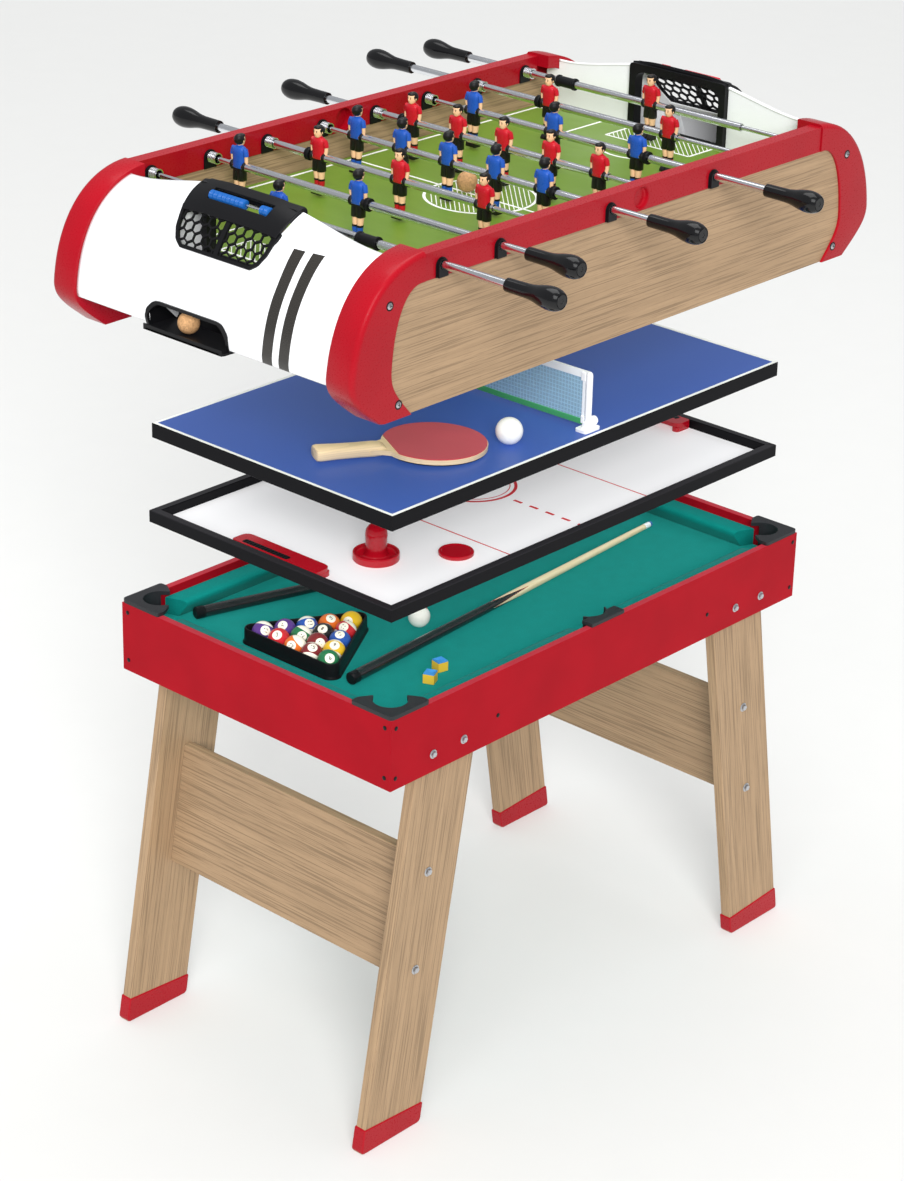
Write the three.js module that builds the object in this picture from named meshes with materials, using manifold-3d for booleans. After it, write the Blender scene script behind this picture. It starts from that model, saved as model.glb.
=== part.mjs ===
// A free-standing multi game table: a pool table on four splayed legs, and three
// game levels that stack on it: a puck game board, a table tennis board and a
// football module with eight rods. The levels are shown lifted off one another.
//
// Millimetres, +Z up. X runs along the table, Y across it, and the front, where
// the first team's handles are, faces -Y. The origin is on the floor, under the
// middle of the table.

import * as THREE from "three";
import { mergeVertices } from "three/addons/utils/BufferGeometryUtils.js";
import Module from "manifold-3d";

const wasm = await Module();
wasm.setup();

// Clearances and facets

const touchGap = 0.3; // between two pieces that meet
const cutOverrun = 6; // how far a cutting shape runs past what it cuts
const weldDistance = 0.001; // vertices nearer than this are one vertex
const roundFacets = 16; // sides of a plain round piece
const rodFacets = 10; // sides of a rod and of the holes it runs in
const thinFacets = 8; // sides of a thin inner rod
const beadFacets = 8;
const fistFacets = 6;
const ballFacets = 12; // sides of a ball round its middle
const rackedBallBands = 4; // bands of a racked ball from top to bottom
const curveSteps = 6; // steps of one stretch of the bulging end

// Pool table

const apronLength = 930;
const apronWidth = 552;
const apronHeight = 110;
const apronTop = 704; // height of the apron's upper edge above the floor
const apronThickness = 12;
const bedDepth = 40; // from the apron's upper edge down to the cloth
const bedThickness = 12;
const cushionDrop = 12; // the cushions lie this far under the apron's edge
const cushionWidth = 34;
const cushionNoseDrop = 9; // the nose lies this far under the cushion's top
const cushionFootWidth = 22;
const pocketRadius = 25;
const pocketWall = 2.5;
const pocketMouth = 62; // length of the gap in the cushions at a corner, each way
const pocketCupDepth = 14; // how far a pocket cup hangs under the bed
const pocketFloor = 2;
const pocketBite = 1.5; // a middle pocket's cup runs this far into the apron
const pocketPlateLength = 78; // a corner plate's two arms, along the apron
const pocketPlateWidth = 34;
const pocketPlateThickness = 6;
const sidePlateLength = 74;
const sidePlateWidth = 20;

// Legs

const legWidth = 121; // measured level, along the table
const legThickness = 18;
const legTopInset = 54.5; // from the apron's inner end to the leg, level with the apron
const legFootReach = 102; // a leg's middle is this much further out at the floor
const footHeight = 32;
const footSlope = 8; // the foot cap's outer edge is this much higher
const footWall = 2;
const panelHeight = 190;
const panelThickness = 16;
const panelBottom = 252; // height of the cross panel's lower edge

// Balls, rack and cues

const poolBallRadius = 17;
const rackRows = 5;
const rackWall = 4;
const rackHeight = 24;
const roundingShares = [-1, -0.5, 0, 0.5, 1]; // of 60 degrees, round a corner of the rack
const rackCornerRadius = 14;
const rackPlaceShares = [-0.351, 0.038]; // the middle of the racked balls, of the bed's length and width
const ballKiss = 0.12; // racked balls press this far into each other
const cueBallPlaceShares = [-0.168, -0.068];
const cueLengthShare = 0.841; // of the bed's length
const cueButtRadius = 9.5;
const cueTipRadius = 4.5;
const frontCueStartShare = -0.404; // the butt's end, of the bed's length
const frontCueGap = 17.6; // between that cue and the rack
const frontCueTurn = 4.6; // degrees from the table's length
const backCueStartShare = -0.4106;
const backCueGap = 2.5; // between that cue and the back cushion
const backCueTurn = -16;

// Puck game level

const hockeyLength = 870;
const hockeyWidth = 490;
const hockeyRimHeight = 19;
const hockeyRimWidth = 13;
const hockeyBoardThickness = 5;
const hockeyLift = 124; // gap over the pockets' plates, as shown
const puckGoalLength = 170;
const puckGoalWidth = 32;
const puckGoalHeight = 14;
const puckSlotHeight = 7.4;
const puckSlotDepth = 22;
const puckSlotMargin = 10;
const puckRadius = 26;
const puckHeight = 6;
const puckPlaceShares = [-0.248, -0.341]; // of the rink's length and width
const pusherRadius = 34.5;
const pusherBaseHeight = 13;
const pusherRimWidth = 3;
const pusherFloor = 5; // the dish between its rim and its knob is this thick
const pusherWaistRadius = 15;
const pusherKnobRadius = 16.5;
const pusherHeight = 56;
const pusherPlaceShares = [-0.3605, -0.1944];

// Table tennis level

const tennisLength = 862;
const tennisWidth = 480;
const tennisThickness = 23;
const tennisLift = 114; // gap over the puck game's rim, as shown
const netHeight = 90;
const netThickness = 2.4;
const netTapeHeight = 12;
const netTapeThickness = 5;
const netInset = 20; // the posts stand this far in from the board's long edges
const netPostRadius = 5;
const netFootLength = 34;
const netFootWidth = 22;
const netFootHeight = 6;
const netColumns = 14;
const netRows = 4;
const netCord = 2.2;
const batHeadLength = 154;
const batHeadWidth = 148;
const batLength = 256;
const batHandleWidth = 30;
const batHandleThickness = 20;
const batBladeThickness = 10;
const batPlaceShares = [-0.4292, -0.0625]; // the end of the handle, of the board's length and width
const batTurn = -28; // degrees from the table's length
const tennisBallRadius = 20;
const tennisBallPlaceShares = [-0.1415, -0.3667];

// Football module: case

const caseWidth = 576; // over the side panels
const footballLift = 168; // gap over the tennis board, as shown
const caseHeight = 214; // from the bottom to the top of the rails
const panelWall = 18;
const pitchDrop = 80; // the pitch lies this far under the rails' top
const pitchThickness = 10;
const endWallReach = 456; // inner face of the end walls from the middle
const endWall = 4;
const railSetback = 26; // the rails end this far before the end walls
const railHeight = 37;
const railWall = 22;
const rimRise = 4; // the corner caps stand this much above the rails
const bulgeDepth = 110; // the widest point of the bulging ends, out from the end wall
const bulgeHeight = 66; // that point above the case's bottom
const bottomDepth = 54; // the end of the caps along the case's bottom, out from the end wall
const capProud = 4; // the caps stand this far out from the side panels
const capDepth = 47; // how far a cap reaches round the end, across the table
const capThickness = 20;
const capPlate = 4; // the cap's inner side plate
const capRound = 8; // rounding of a cap's outer edge
const capBandWidth = 75; // width of a cap's face where the end is widest
const capBandTopWidth = 10; // its inner edge starts this far past the rail's end
const capBandBottomWidth = 58; // and its width along the bottom
const shellRecess = 5; // the end shells lie this far inside the caps
const shellWall = 4;
const archRise = 28; // the shell's edge is this much higher at the goal
const archFlat = 40; // half length of that raised stretch
const archSetback = 5; // the rise has died away this far before the caps
const archShares = [1, 0.75, 0.5, 0.25, 0]; // where the shell's outlines stand on that slope
const archDrop = 68; // the rise starts this far under the caps' top
const shellBottom = 54; // the shells end this far above the case's bottom

// How the bulging outline bends: Bezier handles as shares of each stretch

const bulgeTopPullShares = [0.58, 0.03];
const bulgeSidePullShares = [0.94, 0.43];
const bulgeUnderPullShares = [0, 0.33];
const bulgeHeelPullShares = [0.26, 0.52];

// Goals, score wires and trays

const goalHalfWidth = 94;
const goalPostWidth = 12;
const goalPostDepth = 8;
const housingDrop = 55; // the housing's lower edge under the caps' top
const housingOutlineShares = [
  [1, -0.22],
  [0.957, 0.255],
  [0.894, 0.655],
  [0.745, 1],
]; // its half width as shares of the goal's, at shares of that drop
const hoodDrop = 10; // lower edge of the housing's hood under the caps' top
const hoodRecess = 1; // the hood lies this far inside the caps
const hoodWall = 8;
const slotHalfLength = 57;
const slotWidth = 17;
const slotSetback = 24; // middle of the score slot out from the end wall
const wireRadius = 1.6;
const wireDrop = 2; // the score wire lies this far under the top plate
const beadRadius = 7;
const beadWaistRadius = 5.6;
const beadWidth = 8.4;
const beadWall = 0.4; // running clearance of a loose bead on its wire
const parkedBeads = 8;
const movedBeads = 2;
const hexPitch = 20;
const hexWeb = 3.4; // the net's width between two hexagons
const hexSides = 6;
const hexColumns = 9;
const hexRows = 3;
const hexMargin = 4;
const ribWidth = 9;
const trayHalfLength = 79;
const trayOffset = 22; // middle of the tray from the middle of the end
const trayCorner = 16; // the slanted corners of the tray's mouth
const trayTop = 86; // upper edge of its mouth above the case's bottom
const trayFloor = 47; // underside of the tray above the case's bottom
const trayDepth = 52; // the chute meets the tray's floor this far outside the end wall
const trayCheekInset = 18; // the tray's cheeks end this far inside the widest point
const trayLip = 9;
const trayLipHeight = 8;
const chuteThickness = 3;

// Rods and players

const rodCount = 8;
const rodDrop = 20; // the rods lie this far under the rails' top
const rodRadius = 6;
const rodRunning = 0.6; // radial clearance in a rail and in a stop ring
const innerRodRadius = 3.6;
const innerRodRunning = 0.6;
const innerRodEngage = 15; // the least length that stays inside the tube
const bushWidth = 18;
const bushRise = 8; // from the rod's middle up to the bush's top
const bushProud = 5;
const collarLength = 18; // sprung collar on the inner face of a rail
const collarRadius = 9.5;
const stopRingLength = 8;
const stopRingRadius = 9.5;
const keeperSleeveLength = 36;
const keeperSleeveShare = 0.313; // middle of that sleeve from the goalkeeper, of the pitch's width
const keeperTailShare = 0.326; // tube beyond the goalkeeper, on the other side
const tubeTail = 18; // tube beyond the last player's middle
const playerHalfWidth = 15;
const playerLean = 1.5;
const headRadius = 8.5;
const headHalfHeight = 10;
const headRise = 37; // middle of the head above the rod
const shoulderRise = 28;
const beltDrop = 9;
const bootHeight = 8.5;
const bootClearance = 4.5; // between the boots and the pitch
const torsoWidth = 25;
const torsoDepth = 15;
const hipWidth = 22;
const hipDepth = 13;
const legsWidth = 15;
const legsDepth = 10;
const bootWidth = 18;
const bootHeel = 7;
const bootToe = 8;
const fistRadius = 8;
const handleLength = 92;
const handleRadius = 9.6;
const handleWaistRadius = 10;
const handleBulbRadius = 16;
const handleEndRadius = 12;

// How the handle swells: places along its length as shares of that length
const handleWaistShare = 0.4;
const handleBulbShare = 0.78;
const handleEndShare = 0.97;

// Each rod from the left end: players, and the side its handle is on (-1 is the front).
// As shares of the pitch's width: the players' spacing, and how far the rod stands pushed
// across the table as shown. As a share of the case's width: from the rail to the handle.
const rods = [
  { players: 1, side: -1, spacingShare: 0, shiftShare: 0.0185, gapShare: 0.2 },
  { players: 2, side: -1, spacingShare: 0.435, shiftShare: 0.163, gapShare: 0.0885 },
  { players: 3, side: 1, spacingShare: 0.296, shiftShare: 0, gapShare: 0.1354 },
  { players: 5, side: -1, spacingShare: 0.1685, shiftShare: 0.024, gapShare: 0.1233 },
  { players: 5, side: 1, spacingShare: 0.1685, shiftShare: 0.0148, gapShare: 0.1354 },
  { players: 3, side: -1, spacingShare: 0.296, shiftShare: 0.0185, gapShare: 0.1667 },
  { players: 2, side: 1, spacingShare: 0.435, shiftShare: 0, gapShare: 0.2 },
  { players: 1, side: 1, spacingShare: 0, shiftShare: 0.0185, gapShare: 0.1684 },
];

// Heights and places that follow from the driving dimensions

const apronBottom = apronTop - apronHeight;
const bedTop = apronTop - bedDepth;
const bedUnderside = bedTop - bedThickness;
const innerLength = apronLength - 2 * apronThickness;
const innerWidth = apronWidth - 2 * apronThickness;
const pocketInset = pocketRadius + pocketWall + touchGap;
const middlePocketY = innerWidth / 2 - pocketInset + pocketBite;
const legTopSpread = innerLength / 2 - legWidth / 2 - legTopInset;
const legFootSpread = legTopSpread + legFootReach;
const cueLength = cueLengthShare * innerLength;
const hockeyBottom = apronTop + pocketPlateThickness + hockeyLift;
const hockeyRimTop = hockeyBottom + hockeyRimHeight;
const tennisTop = hockeyRimTop + tennisLift + tennisThickness;
const caseBottom = tennisTop + footballLift;
const caseTop = caseBottom + caseHeight;
const capTop = caseTop + rimRise;
const railBottom = caseTop - railHeight;
const pitchTop = caseTop - pitchDrop;
const pitchUnderside = pitchTop - pitchThickness;
const rodHeight = caseTop - rodDrop;
const sideOuter = caseWidth / 2;
const sideInner = sideOuter - panelWall;
const railOverhang = (railWall - panelWall) / 2;
const railInner = sideInner - railOverhang;
const railOuter = sideOuter + railOverhang;
const capOuter = sideOuter + capProud;
const capInner = capOuter - capDepth;
const railHalfLength = endWallReach - railSetback;
const bulgeReach = endWallReach + bulgeDepth;
const bottomReach = endWallReach + bottomDepth;
const capBandReach = bulgeReach - capBandWidth;
const capBandTop = railHalfLength + capBandTopWidth;
const capBandBottom = bottomReach - capBandBottomWidth;
const archEnd = capInner - archSetback;
const hoodBottom = capTop - hoodDrop;
const slotReach = endWallReach + slotSetback;
const trayReach = endWallReach + endWall + trayDepth;
const trayCheekReach = bulgeReach - trayCheekInset;
const rodPitch = (2 * endWallReach) / rodCount;
const pitchWidth = 2 * sideInner;
const soleDrop = pitchDrop - rodDrop - bootClearance;
const kneeDrop = soleDrop - bootHeight;

// Colours and finishes

const paint = (color, roughness, metalness = 0) =>
  new THREE.MeshStandardMaterial({ color, roughness, metalness });
const redLacquer = paint(0xc8102a, 0.4);
const oakFoil = paint(0xb08f6a, 0.6);
const blackPlastic = paint(0x1c1b1e, 0.45);
const greenCloth = paint(0x0a7a63, 0.9);
const whitePlastic = paint(0xf2f4f6, 0.35);
const greenPitch = paint(0x5c9a2e, 0.5);
const blueBoard = paint(0x2c4fa8, 0.35);
const chrome = paint(0xb8bcc2, 0.2, 1);
const blueBead = paint(0x1667c8, 0.35);
const redBead = paint(0xc01828, 0.35);
const paleWood = paint(0xe3c79a, 0.55);
const ivoryBall = paint(0xf4f1e6, 0.2);
const netWhite = paint(0xdfe9ee, 0.6);

// Solids

function solidOf(geometry) {
  const bare = geometry.clone();
  bare.deleteAttribute("normal");
  bare.deleteAttribute("uv");
  const merged = mergeVertices(bare, weldDistance);
  return new wasm.Manifold(
    new wasm.Mesh({
      numProp: 3,
      vertProperties: merged.getAttribute("position").array,
      triVerts: new Uint32Array(merged.index.array),
    }),
  );
}

function geometryOf(solid) {
  const { vertProperties, triVerts } = solid.getMesh();
  const geometry = new THREE.BufferGeometry();
  geometry.setAttribute("position", new THREE.BufferAttribute(vertProperties, 3));
  geometry.setIndex(new THREE.BufferAttribute(triVerts, 1));
  const faceted = geometry.toNonIndexed();
  faceted.computeVertexNormals();
  return faceted;
}

function join(...geometries) {
  return geometryOf(geometries.map(solidOf).reduce((whole, next) => whole.add(next)));
}

function cut(geometry, ...tools) {
  const whole = solidOf(geometry);
  return geometryOf(tools.map(solidOf).reduce((left, tool) => left.subtract(tool), whole));
}

function common(geometry, other) {
  return geometryOf(solidOf(geometry).intersect(solidOf(other)));
}

// Shapes, each placed by its lowest and highest coordinates

function block([x0, x1], [y0, y1], [z0, z1]) {
  const box = new THREE.BoxGeometry(x1 - x0, y1 - y0, z1 - z0);
  return box.translate((x0 + x1) / 2, (y0 + y1) / 2, (z0 + z1) / 2);
}

function around(middle, size) {
  return [middle - size / 2, middle + size / 2];
}

function shapeOf(points) {
  return new THREE.Shape(points.map(([a, b]) => new THREE.Vector2(a, b)));
}

// An outline in X and Z, carried along Y.
function alongY(points, [y0, y1]) {
  const slab = new THREE.ExtrudeGeometry(shapeOf(points), { depth: y1 - y0, bevelEnabled: false });
  return slab.rotateX(Math.PI / 2).translate(0, y1, 0);
}

// An outline in Y and Z, carried along X.
function alongX(points, [x0, x1]) {
  const turned = points.map(([y, z]) => [-y, z]);
  return alongY(turned, [x0, x1]).rotateZ(-Math.PI / 2);
}

// An outline in X and Y, carried up Z.
function alongZ(points, [z0, z1], holes = []) {
  const shape = shapeOf(points);
  shape.holes = holes.map(shapeOf);
  return new THREE.ExtrudeGeometry(shape, { depth: z1 - z0, bevelEnabled: false }).translate(0, 0, z0);
}

function rodAlongY(radius, x, [y0, y1], z, facets = rodFacets) {
  return new THREE.CylinderGeometry(radius, radius, y1 - y0, facets).translate(x, (y0 + y1) / 2, z);
}

function postAlongZ(radius, x, y, [z0, z1], facets = roundFacets) {
  const post = new THREE.CylinderGeometry(radius, radius, z1 - z0, facets).rotateX(Math.PI / 2);
  return post.translate(x, y, (z0 + z1) / 2);
}

// A profile of [radius, height] pairs turned about Z.
function turnedAboutZ(profile, facets = roundFacets) {
  const points = profile.map(([r, z]) => new THREE.Vector2(r, z));
  return new THREE.LatheGeometry(points, facets).rotateX(Math.PI / 2);
}

// A profile of [radius, distance] pairs turned about Y.
function turnedAboutY(profile, facets = roundFacets) {
  return new THREE.LatheGeometry(profile.map(([r, y]) => new THREE.Vector2(r, y)), facets);
}

function ball(radius, x, y, z, facets = ballFacets, bands = facets / 2) {
  const sphere = new THREE.SphereGeometry(radius, facets, bands);
  return sphere.rotateX(Math.PI / 2).translate(x, y, z);
}

// A skin through closed outlines in X and Z that stand at rising Y, capped at both ends.
function lofted(sections) {
  const count = sections[0].points.length;
  const positions = [];
  const put = (section, i) => {
    const [x, z] = section.points[i % count];
    positions.push(x, section.y, z);
  };
  for (let s = 0; s + 1 < sections.length; s++) {
    const near = sections[s];
    const far = sections[s + 1];
    for (let i = 0; i < count; i++) {
      put(near, i);
      put(far, i);
      put(near, i + 1);
      put(near, i + 1);
      put(far, i);
      put(far, i + 1);
    }
  }
  const faces = THREE.ShapeUtils.triangulateShape(shapeOf(sections[0].points).getPoints(), []);
  for (const [a, b, c] of faces) {
    put(sections[0], a);
    put(sections[0], b);
    put(sections[0], c);
    put(sections.at(-1), a);
    put(sections.at(-1), c);
    put(sections.at(-1), b);
  }
  const skin = new THREE.BufferGeometry();
  skin.setAttribute("position", new THREE.Float32BufferAttribute(positions, 3));
  return outwards(mergeVertices(skin, weldDistance));
}

// A pillar through rectangles at rising heights, each [height, width across Y, depth along X].
function stacked(levels) {
  const sections = levels.map(([height, width, depth]) => ({
    y: height,
    points: [
      [-depth / 2, -width / 2],
      [depth / 2, -width / 2],
      [depth / 2, width / 2],
      [-depth / 2, width / 2],
    ],
  }));
  return lofted(sections).rotateX(Math.PI / 2);
}

// Turns every face over when the surface encloses a negative volume.
function outwards(geometry) {
  const position = geometry.getAttribute("position");
  const index = geometry.index.array;
  const [a, b, c] = [new THREE.Vector3(), new THREE.Vector3(), new THREE.Vector3()];
  let volume = 0;
  for (let i = 0; i < index.length; i += 3) {
    a.fromBufferAttribute(position, index[i]);
    b.fromBufferAttribute(position, index[i + 1]);
    c.fromBufferAttribute(position, index[i + 2]);
    volume += a.dot(b.cross(c));
  }
  if (volume < 0) {
    for (let i = 0; i < index.length; i += 3) {
      [index[i + 1], index[i + 2]] = [index[i + 2], index[i + 1]];
    }
  }
  return geometry;
}

// The same piece on the other side: X, Y or both change sign.
function mirrored(geometry, sideX, sideY) {
  const copy = mergeVertices(stripped(geometry), weldDistance);
  copy.scale(sideX, sideY, 1);
  return outwards(copy);
}

function stripped(geometry) {
  const bare = geometry.clone();
  bare.deleteAttribute("normal");
  bare.deleteAttribute("uv");
  return bare;
}

// The object's groups, one for each level that lifts off

const table = new THREE.Group();
const poolTable = new THREE.Group();
const hockeyLevel = new THREE.Group();
const tennisLevel = new THREE.Group();
const footballLevel = new THREE.Group();
table.add(poolTable, hockeyLevel, tennisLevel, footballLevel);

function place(level, name, geometry, material) {
  const mesh = new THREE.Mesh(geometry, material);
  mesh.name = name;
  level.add(mesh);
  return mesh;
}

const ends = [
  { name: "left", side: -1 },
  { name: "right", side: 1 },
];
const fronts = [
  { name: "front", side: -1 },
  { name: "back", side: 1 },
];

// Pool table: apron, bed and pockets

// A long apron board with its middle pocket: a plate on the board's edge, hollowed by
// the pocket's round mouth, and a cup that hangs through the bed, open to the table.
function apronBoard(side) {
  const outer = apronWidth / 2;
  const board = block(around(0, apronLength), [-outer, -outer + apronThickness], [apronBottom, apronTop]);
  const plateTop = apronTop + pocketPlateThickness;
  const plate = block(around(0, sidePlateLength), [-outer, -outer + sidePlateWidth], [apronTop, plateTop]);
  const cupBottom = bedUnderside - pocketCupDepth;
  const cup = postAlongZ(pocketRadius + pocketWall, 0, -middlePocketY, [cupBottom, bedTop]);
  const hollowZ = [cupBottom + pocketFloor, plateTop + cutOverrun];
  const hollow = postAlongZ(pocketRadius, 0, -middlePocketY, hollowZ);
  return mirrored(join(cut(join(board, plate), hollow), cut(cup, hollow)), 1, -side);
}

for (const { name, side } of fronts) {
  place(poolTable, `apron_${name}`, apronBoard(side), redLacquer);
}
for (const { name, side } of ends) {
  const x = [(side * apronLength) / 2, side * (apronLength / 2 - apronThickness)].sort((a, b) => a - b);
  const board = block(x, around(0, innerWidth), [apronBottom, apronTop]);
  place(poolTable, `apron_${name}`, board, redLacquer);
}

// The cushion along one long edge: foot on the bed, nose above it, flat top.
function cushionProfile() {
  const top = apronTop - cushionDrop;
  const wall = -innerWidth / 2;
  return [
    [wall, bedTop - touchGap],
    [wall + cushionFootWidth, bedTop - touchGap],
    [wall + cushionWidth, top - cushionNoseDrop],
    [wall + cushionWidth, top - cushionNoseDrop / 2],
    [wall + cushionWidth - cushionNoseDrop / 2, top],
    [wall, top],
  ];
}

// A stretch of cushion of a given length, centred, along the front edge.
function cushion(length) {
  const bar = alongY(cushionProfile(), around(0, length));
  return bar.rotateZ(Math.PI / 2);
}

// Where the cups hang: the four corners' centres and the two middle ones.
const cornerPocketX = innerLength / 2 - pocketInset;
const cornerPocketY = innerWidth / 2 - pocketInset;

function poolBed() {
  const board = block(around(0, innerLength), around(0, innerWidth), [bedUnderside, bedTop]);
  const longCushion = innerLength / 2 - pocketMouth - pocketRadius - pocketWall;
  const longMiddle = (innerLength / 2 - pocketMouth + pocketRadius + pocketWall) / 2;
  const shortCushion = innerWidth - 2 * pocketMouth;
  const pieces = [board];
  for (const turn of [0, Math.PI]) {
    for (const side of [-1, 1]) {
      pieces.push(cushion(longCushion).translate(side * longMiddle, 0, 0).rotateZ(turn));
    }
    const short = cushion(shortCushion).translate(0, (innerWidth - innerLength) / 2, 0);
    pieces.push(short.rotateZ(turn + Math.PI / 2));
  }
  const depth = [bedUnderside - cutOverrun, apronTop];
  const radius = pocketRadius + pocketWall + touchGap;
  const reach = radius + cutOverrun;
  const corner = join(
    postAlongZ(radius, -cornerPocketX, -cornerPocketY, depth),
    block([-cornerPocketX - reach, -cornerPocketX], [-cornerPocketY - reach, -cornerPocketY], depth),
  );
  const middle = postAlongZ(radius, 0, -middlePocketY, depth);
  const holes = [-1, 1].flatMap((side) => [
    mirrored(corner, 1, side),
    mirrored(corner, -1, side),
    mirrored(middle, 1, side),
  ]);
  return cut(join(...pieces), ...holes);
}
place(poolTable, "pool_bed", poolBed(), greenCloth);

// A corner pocket: an L-shaped plate on the apron's corner and the cup under it.
function cornerPocket() {
  const cornerX = -apronLength / 2;
  const cornerY = -apronWidth / 2;
  const x = -cornerPocketX;
  const y = -cornerPocketY;
  const plate = [
    [cornerX, cornerY],
    [cornerX + pocketPlateLength, cornerY],
    [cornerX + pocketPlateLength, cornerY + apronThickness + pocketWall],
    [cornerX + pocketPlateLength - apronThickness, cornerY + pocketPlateWidth],
    [cornerX + pocketPlateWidth, cornerY + pocketPlateLength - apronThickness],
    [cornerX + apronThickness + pocketWall, cornerY + pocketPlateLength],
    [cornerX, cornerY + pocketPlateLength],
  ];
  const top = alongZ(plate, [apronTop, apronTop + pocketPlateThickness]);
  const cupBottom = bedUnderside - pocketCupDepth;
  const plateTop = apronTop + pocketPlateThickness;
  const cup = postAlongZ(pocketRadius + pocketWall, x, y, [cupBottom, plateTop]);
  const hollow = postAlongZ(pocketRadius, x, y, [cupBottom + pocketFloor, plateTop + cutOverrun]);
  // The cup's wall is open towards the table above the bed, so a ball can roll in.
  const mouth = block(
    [x, x + pocketRadius + cutOverrun],
    [y, y + pocketRadius + cutOverrun],
    [bedTop, apronTop + pocketPlateThickness + cutOverrun],
  );
  const lane = alongZ(laneOutline(x, y), [bedTop, apronTop + pocketPlateThickness + cutOverrun]);
  return cut(join(top, cup), hollow, mouth, lane);
}

// The lane of a rolling ball into a corner pocket, on the diagonal.
function laneOutline(x, y) {
  const half = pocketRadius / Math.SQRT2;
  const reach = pocketPlateLength;
  return [
    [x - half, y + half],
    [x + half, y - half],
    [x + half + reach, y - half + reach],
    [x - half + reach, y + half + reach],
  ];
}

for (const end of ends) {
  for (const front of fronts) {
    const name = `corner_pocket_${front.name}_${end.name}`;
    place(poolTable, name, mirrored(cornerPocket(), -end.side, -front.side), blackPlastic);
  }
}

// Legs: splayed boards with foot caps, and a cross panel between each pair

const legTop = bedUnderside - touchGap;
const legSlope = (legFootSpread - legTopSpread) / apronBottom;
const legMiddle = (z) => -(legFootSpread - legSlope * z);
const legOuterFace = innerWidth / 2 - touchGap;

function legBoard() {
  const outline = [
    [legMiddle(0) - legWidth / 2, 0],
    [legMiddle(0) + legWidth / 2, 0],
    [legMiddle(legTop) + legWidth / 2, legTop],
    [legMiddle(legTop) - legWidth / 2, legTop],
  ];
  return alongY(outline, [-legOuterFace, -legOuterFace + legThickness]);
}

function footCap() {
  const half = legWidth / 2 + footWall;
  const outline = [
    [legMiddle(0) - half, 0],
    [legMiddle(0) + half, 0],
    [legMiddle(footHeight) + half, footHeight],
    [legMiddle(footHeight + footSlope) - half, footHeight + footSlope],
  ];
  return alongY(outline, [-legOuterFace - footWall, -legOuterFace + legThickness + footWall]);
}

for (const end of ends) {
  for (const front of fronts) {
    const leg = mirrored(join(legBoard(), footCap()), -end.side, -front.side);
    place(poolTable, `leg_${front.name}_${end.name}`, leg, oakFoil);
  }
}

function crossPanel() {
  const outline = [
    [legMiddle(panelBottom) - panelThickness / 2, panelBottom],
    [legMiddle(panelBottom) + panelThickness / 2, panelBottom],
    [legMiddle(panelBottom + panelHeight) + panelThickness / 2, panelBottom + panelHeight],
    [legMiddle(panelBottom + panelHeight) - panelThickness / 2, panelBottom + panelHeight],
  ];
  const reach = legOuterFace - legThickness - touchGap;
  return alongY(outline, [-reach, reach]);
}

for (const { name, side } of ends) {
  place(poolTable, `cross_panel_${name}`, mirrored(crossPanel(), -side, 1), oakFoil);
}

// The rack with its balls, which point up the table, and the loose cue ball

// The rack's triangle with rounded corners, drawn in by an inset from its outer face.
const ballPitch = 2 * poolBallRadius - ballKiss;
const rackedSide = (rackRows - 1) * ballPitch;
const rackApothem = rackedSide / Math.sqrt(3) / 2 + poolBallRadius + rackWall;
const rackX = rackPlaceShares[0] * innerLength;
const rackY = rackPlaceShares[1] * innerWidth;
function rackOutline(inset) {
  const corner = rackCornerRadius - inset;
  const reach = 2 * (rackApothem - rackCornerRadius);
  const points = [];
  for (const middle of [0, (2 * Math.PI) / 3, (4 * Math.PI) / 3]) {
    for (const share of roundingShares) {
      const angle = middle + (share * Math.PI) / 3;
      const x = rackX + reach * Math.cos(middle) + corner * Math.cos(angle);
      const y = rackY + reach * Math.sin(middle) + corner * Math.sin(angle);
      points.push([x, y]);
    }
  }
  return points;
}

function rackedBallPlaces() {
  const rowStep = (ballPitch * Math.sqrt(3)) / 2;
  const tip = ((rackRows - 1) * rowStep * 2) / 3;
  const places = [];
  for (let row = 0; row < rackRows; row++) {
    for (let seat = 0; seat <= row; seat++) {
      places.push([rackX + tip - row * rowStep, rackY + (seat - row / 2) * ballPitch]);
    }
  }
  return places;
}

function rackWithBalls() {
  const height = [bedTop + touchGap, bedTop + touchGap + rackHeight];
  const frame = alongZ(rackOutline(0), height, [rackOutline(rackWall).reverse()]);
  const z = bedTop + touchGap + poolBallRadius;
  const radius = poolBallRadius + ballKiss;
  const balls = rackedBallPlaces().map(([x, y]) => ball(radius, x, y, z, ballFacets, rackedBallBands));
  return join(frame, ...balls);
}
place(poolTable, "ball_rack", rackWithBalls(), blackPlastic);
const cueBallX = cueBallPlaceShares[0] * innerLength;
const cueBallY = cueBallPlaceShares[1] * innerWidth;
const cueBallHeight = bedTop + touchGap + poolBallRadius;
place(poolTable, "cue_ball", ball(poolBallRadius, cueBallX, cueBallY, cueBallHeight), ivoryBall);

// A cue lies on the bed along its underside, so its axis falls towards the tip.
function cueStick() {
  const stick = turnedAboutY([
    [0, 0],
    [cueButtRadius, 0],
    [cueTipRadius, cueLength],
    [0, cueLength],
  ]);
  const fall = Math.asin((cueButtRadius - cueTipRadius) / cueLength);
  return stick.rotateZ(-Math.PI / 2).rotateY(fall);
}

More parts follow.
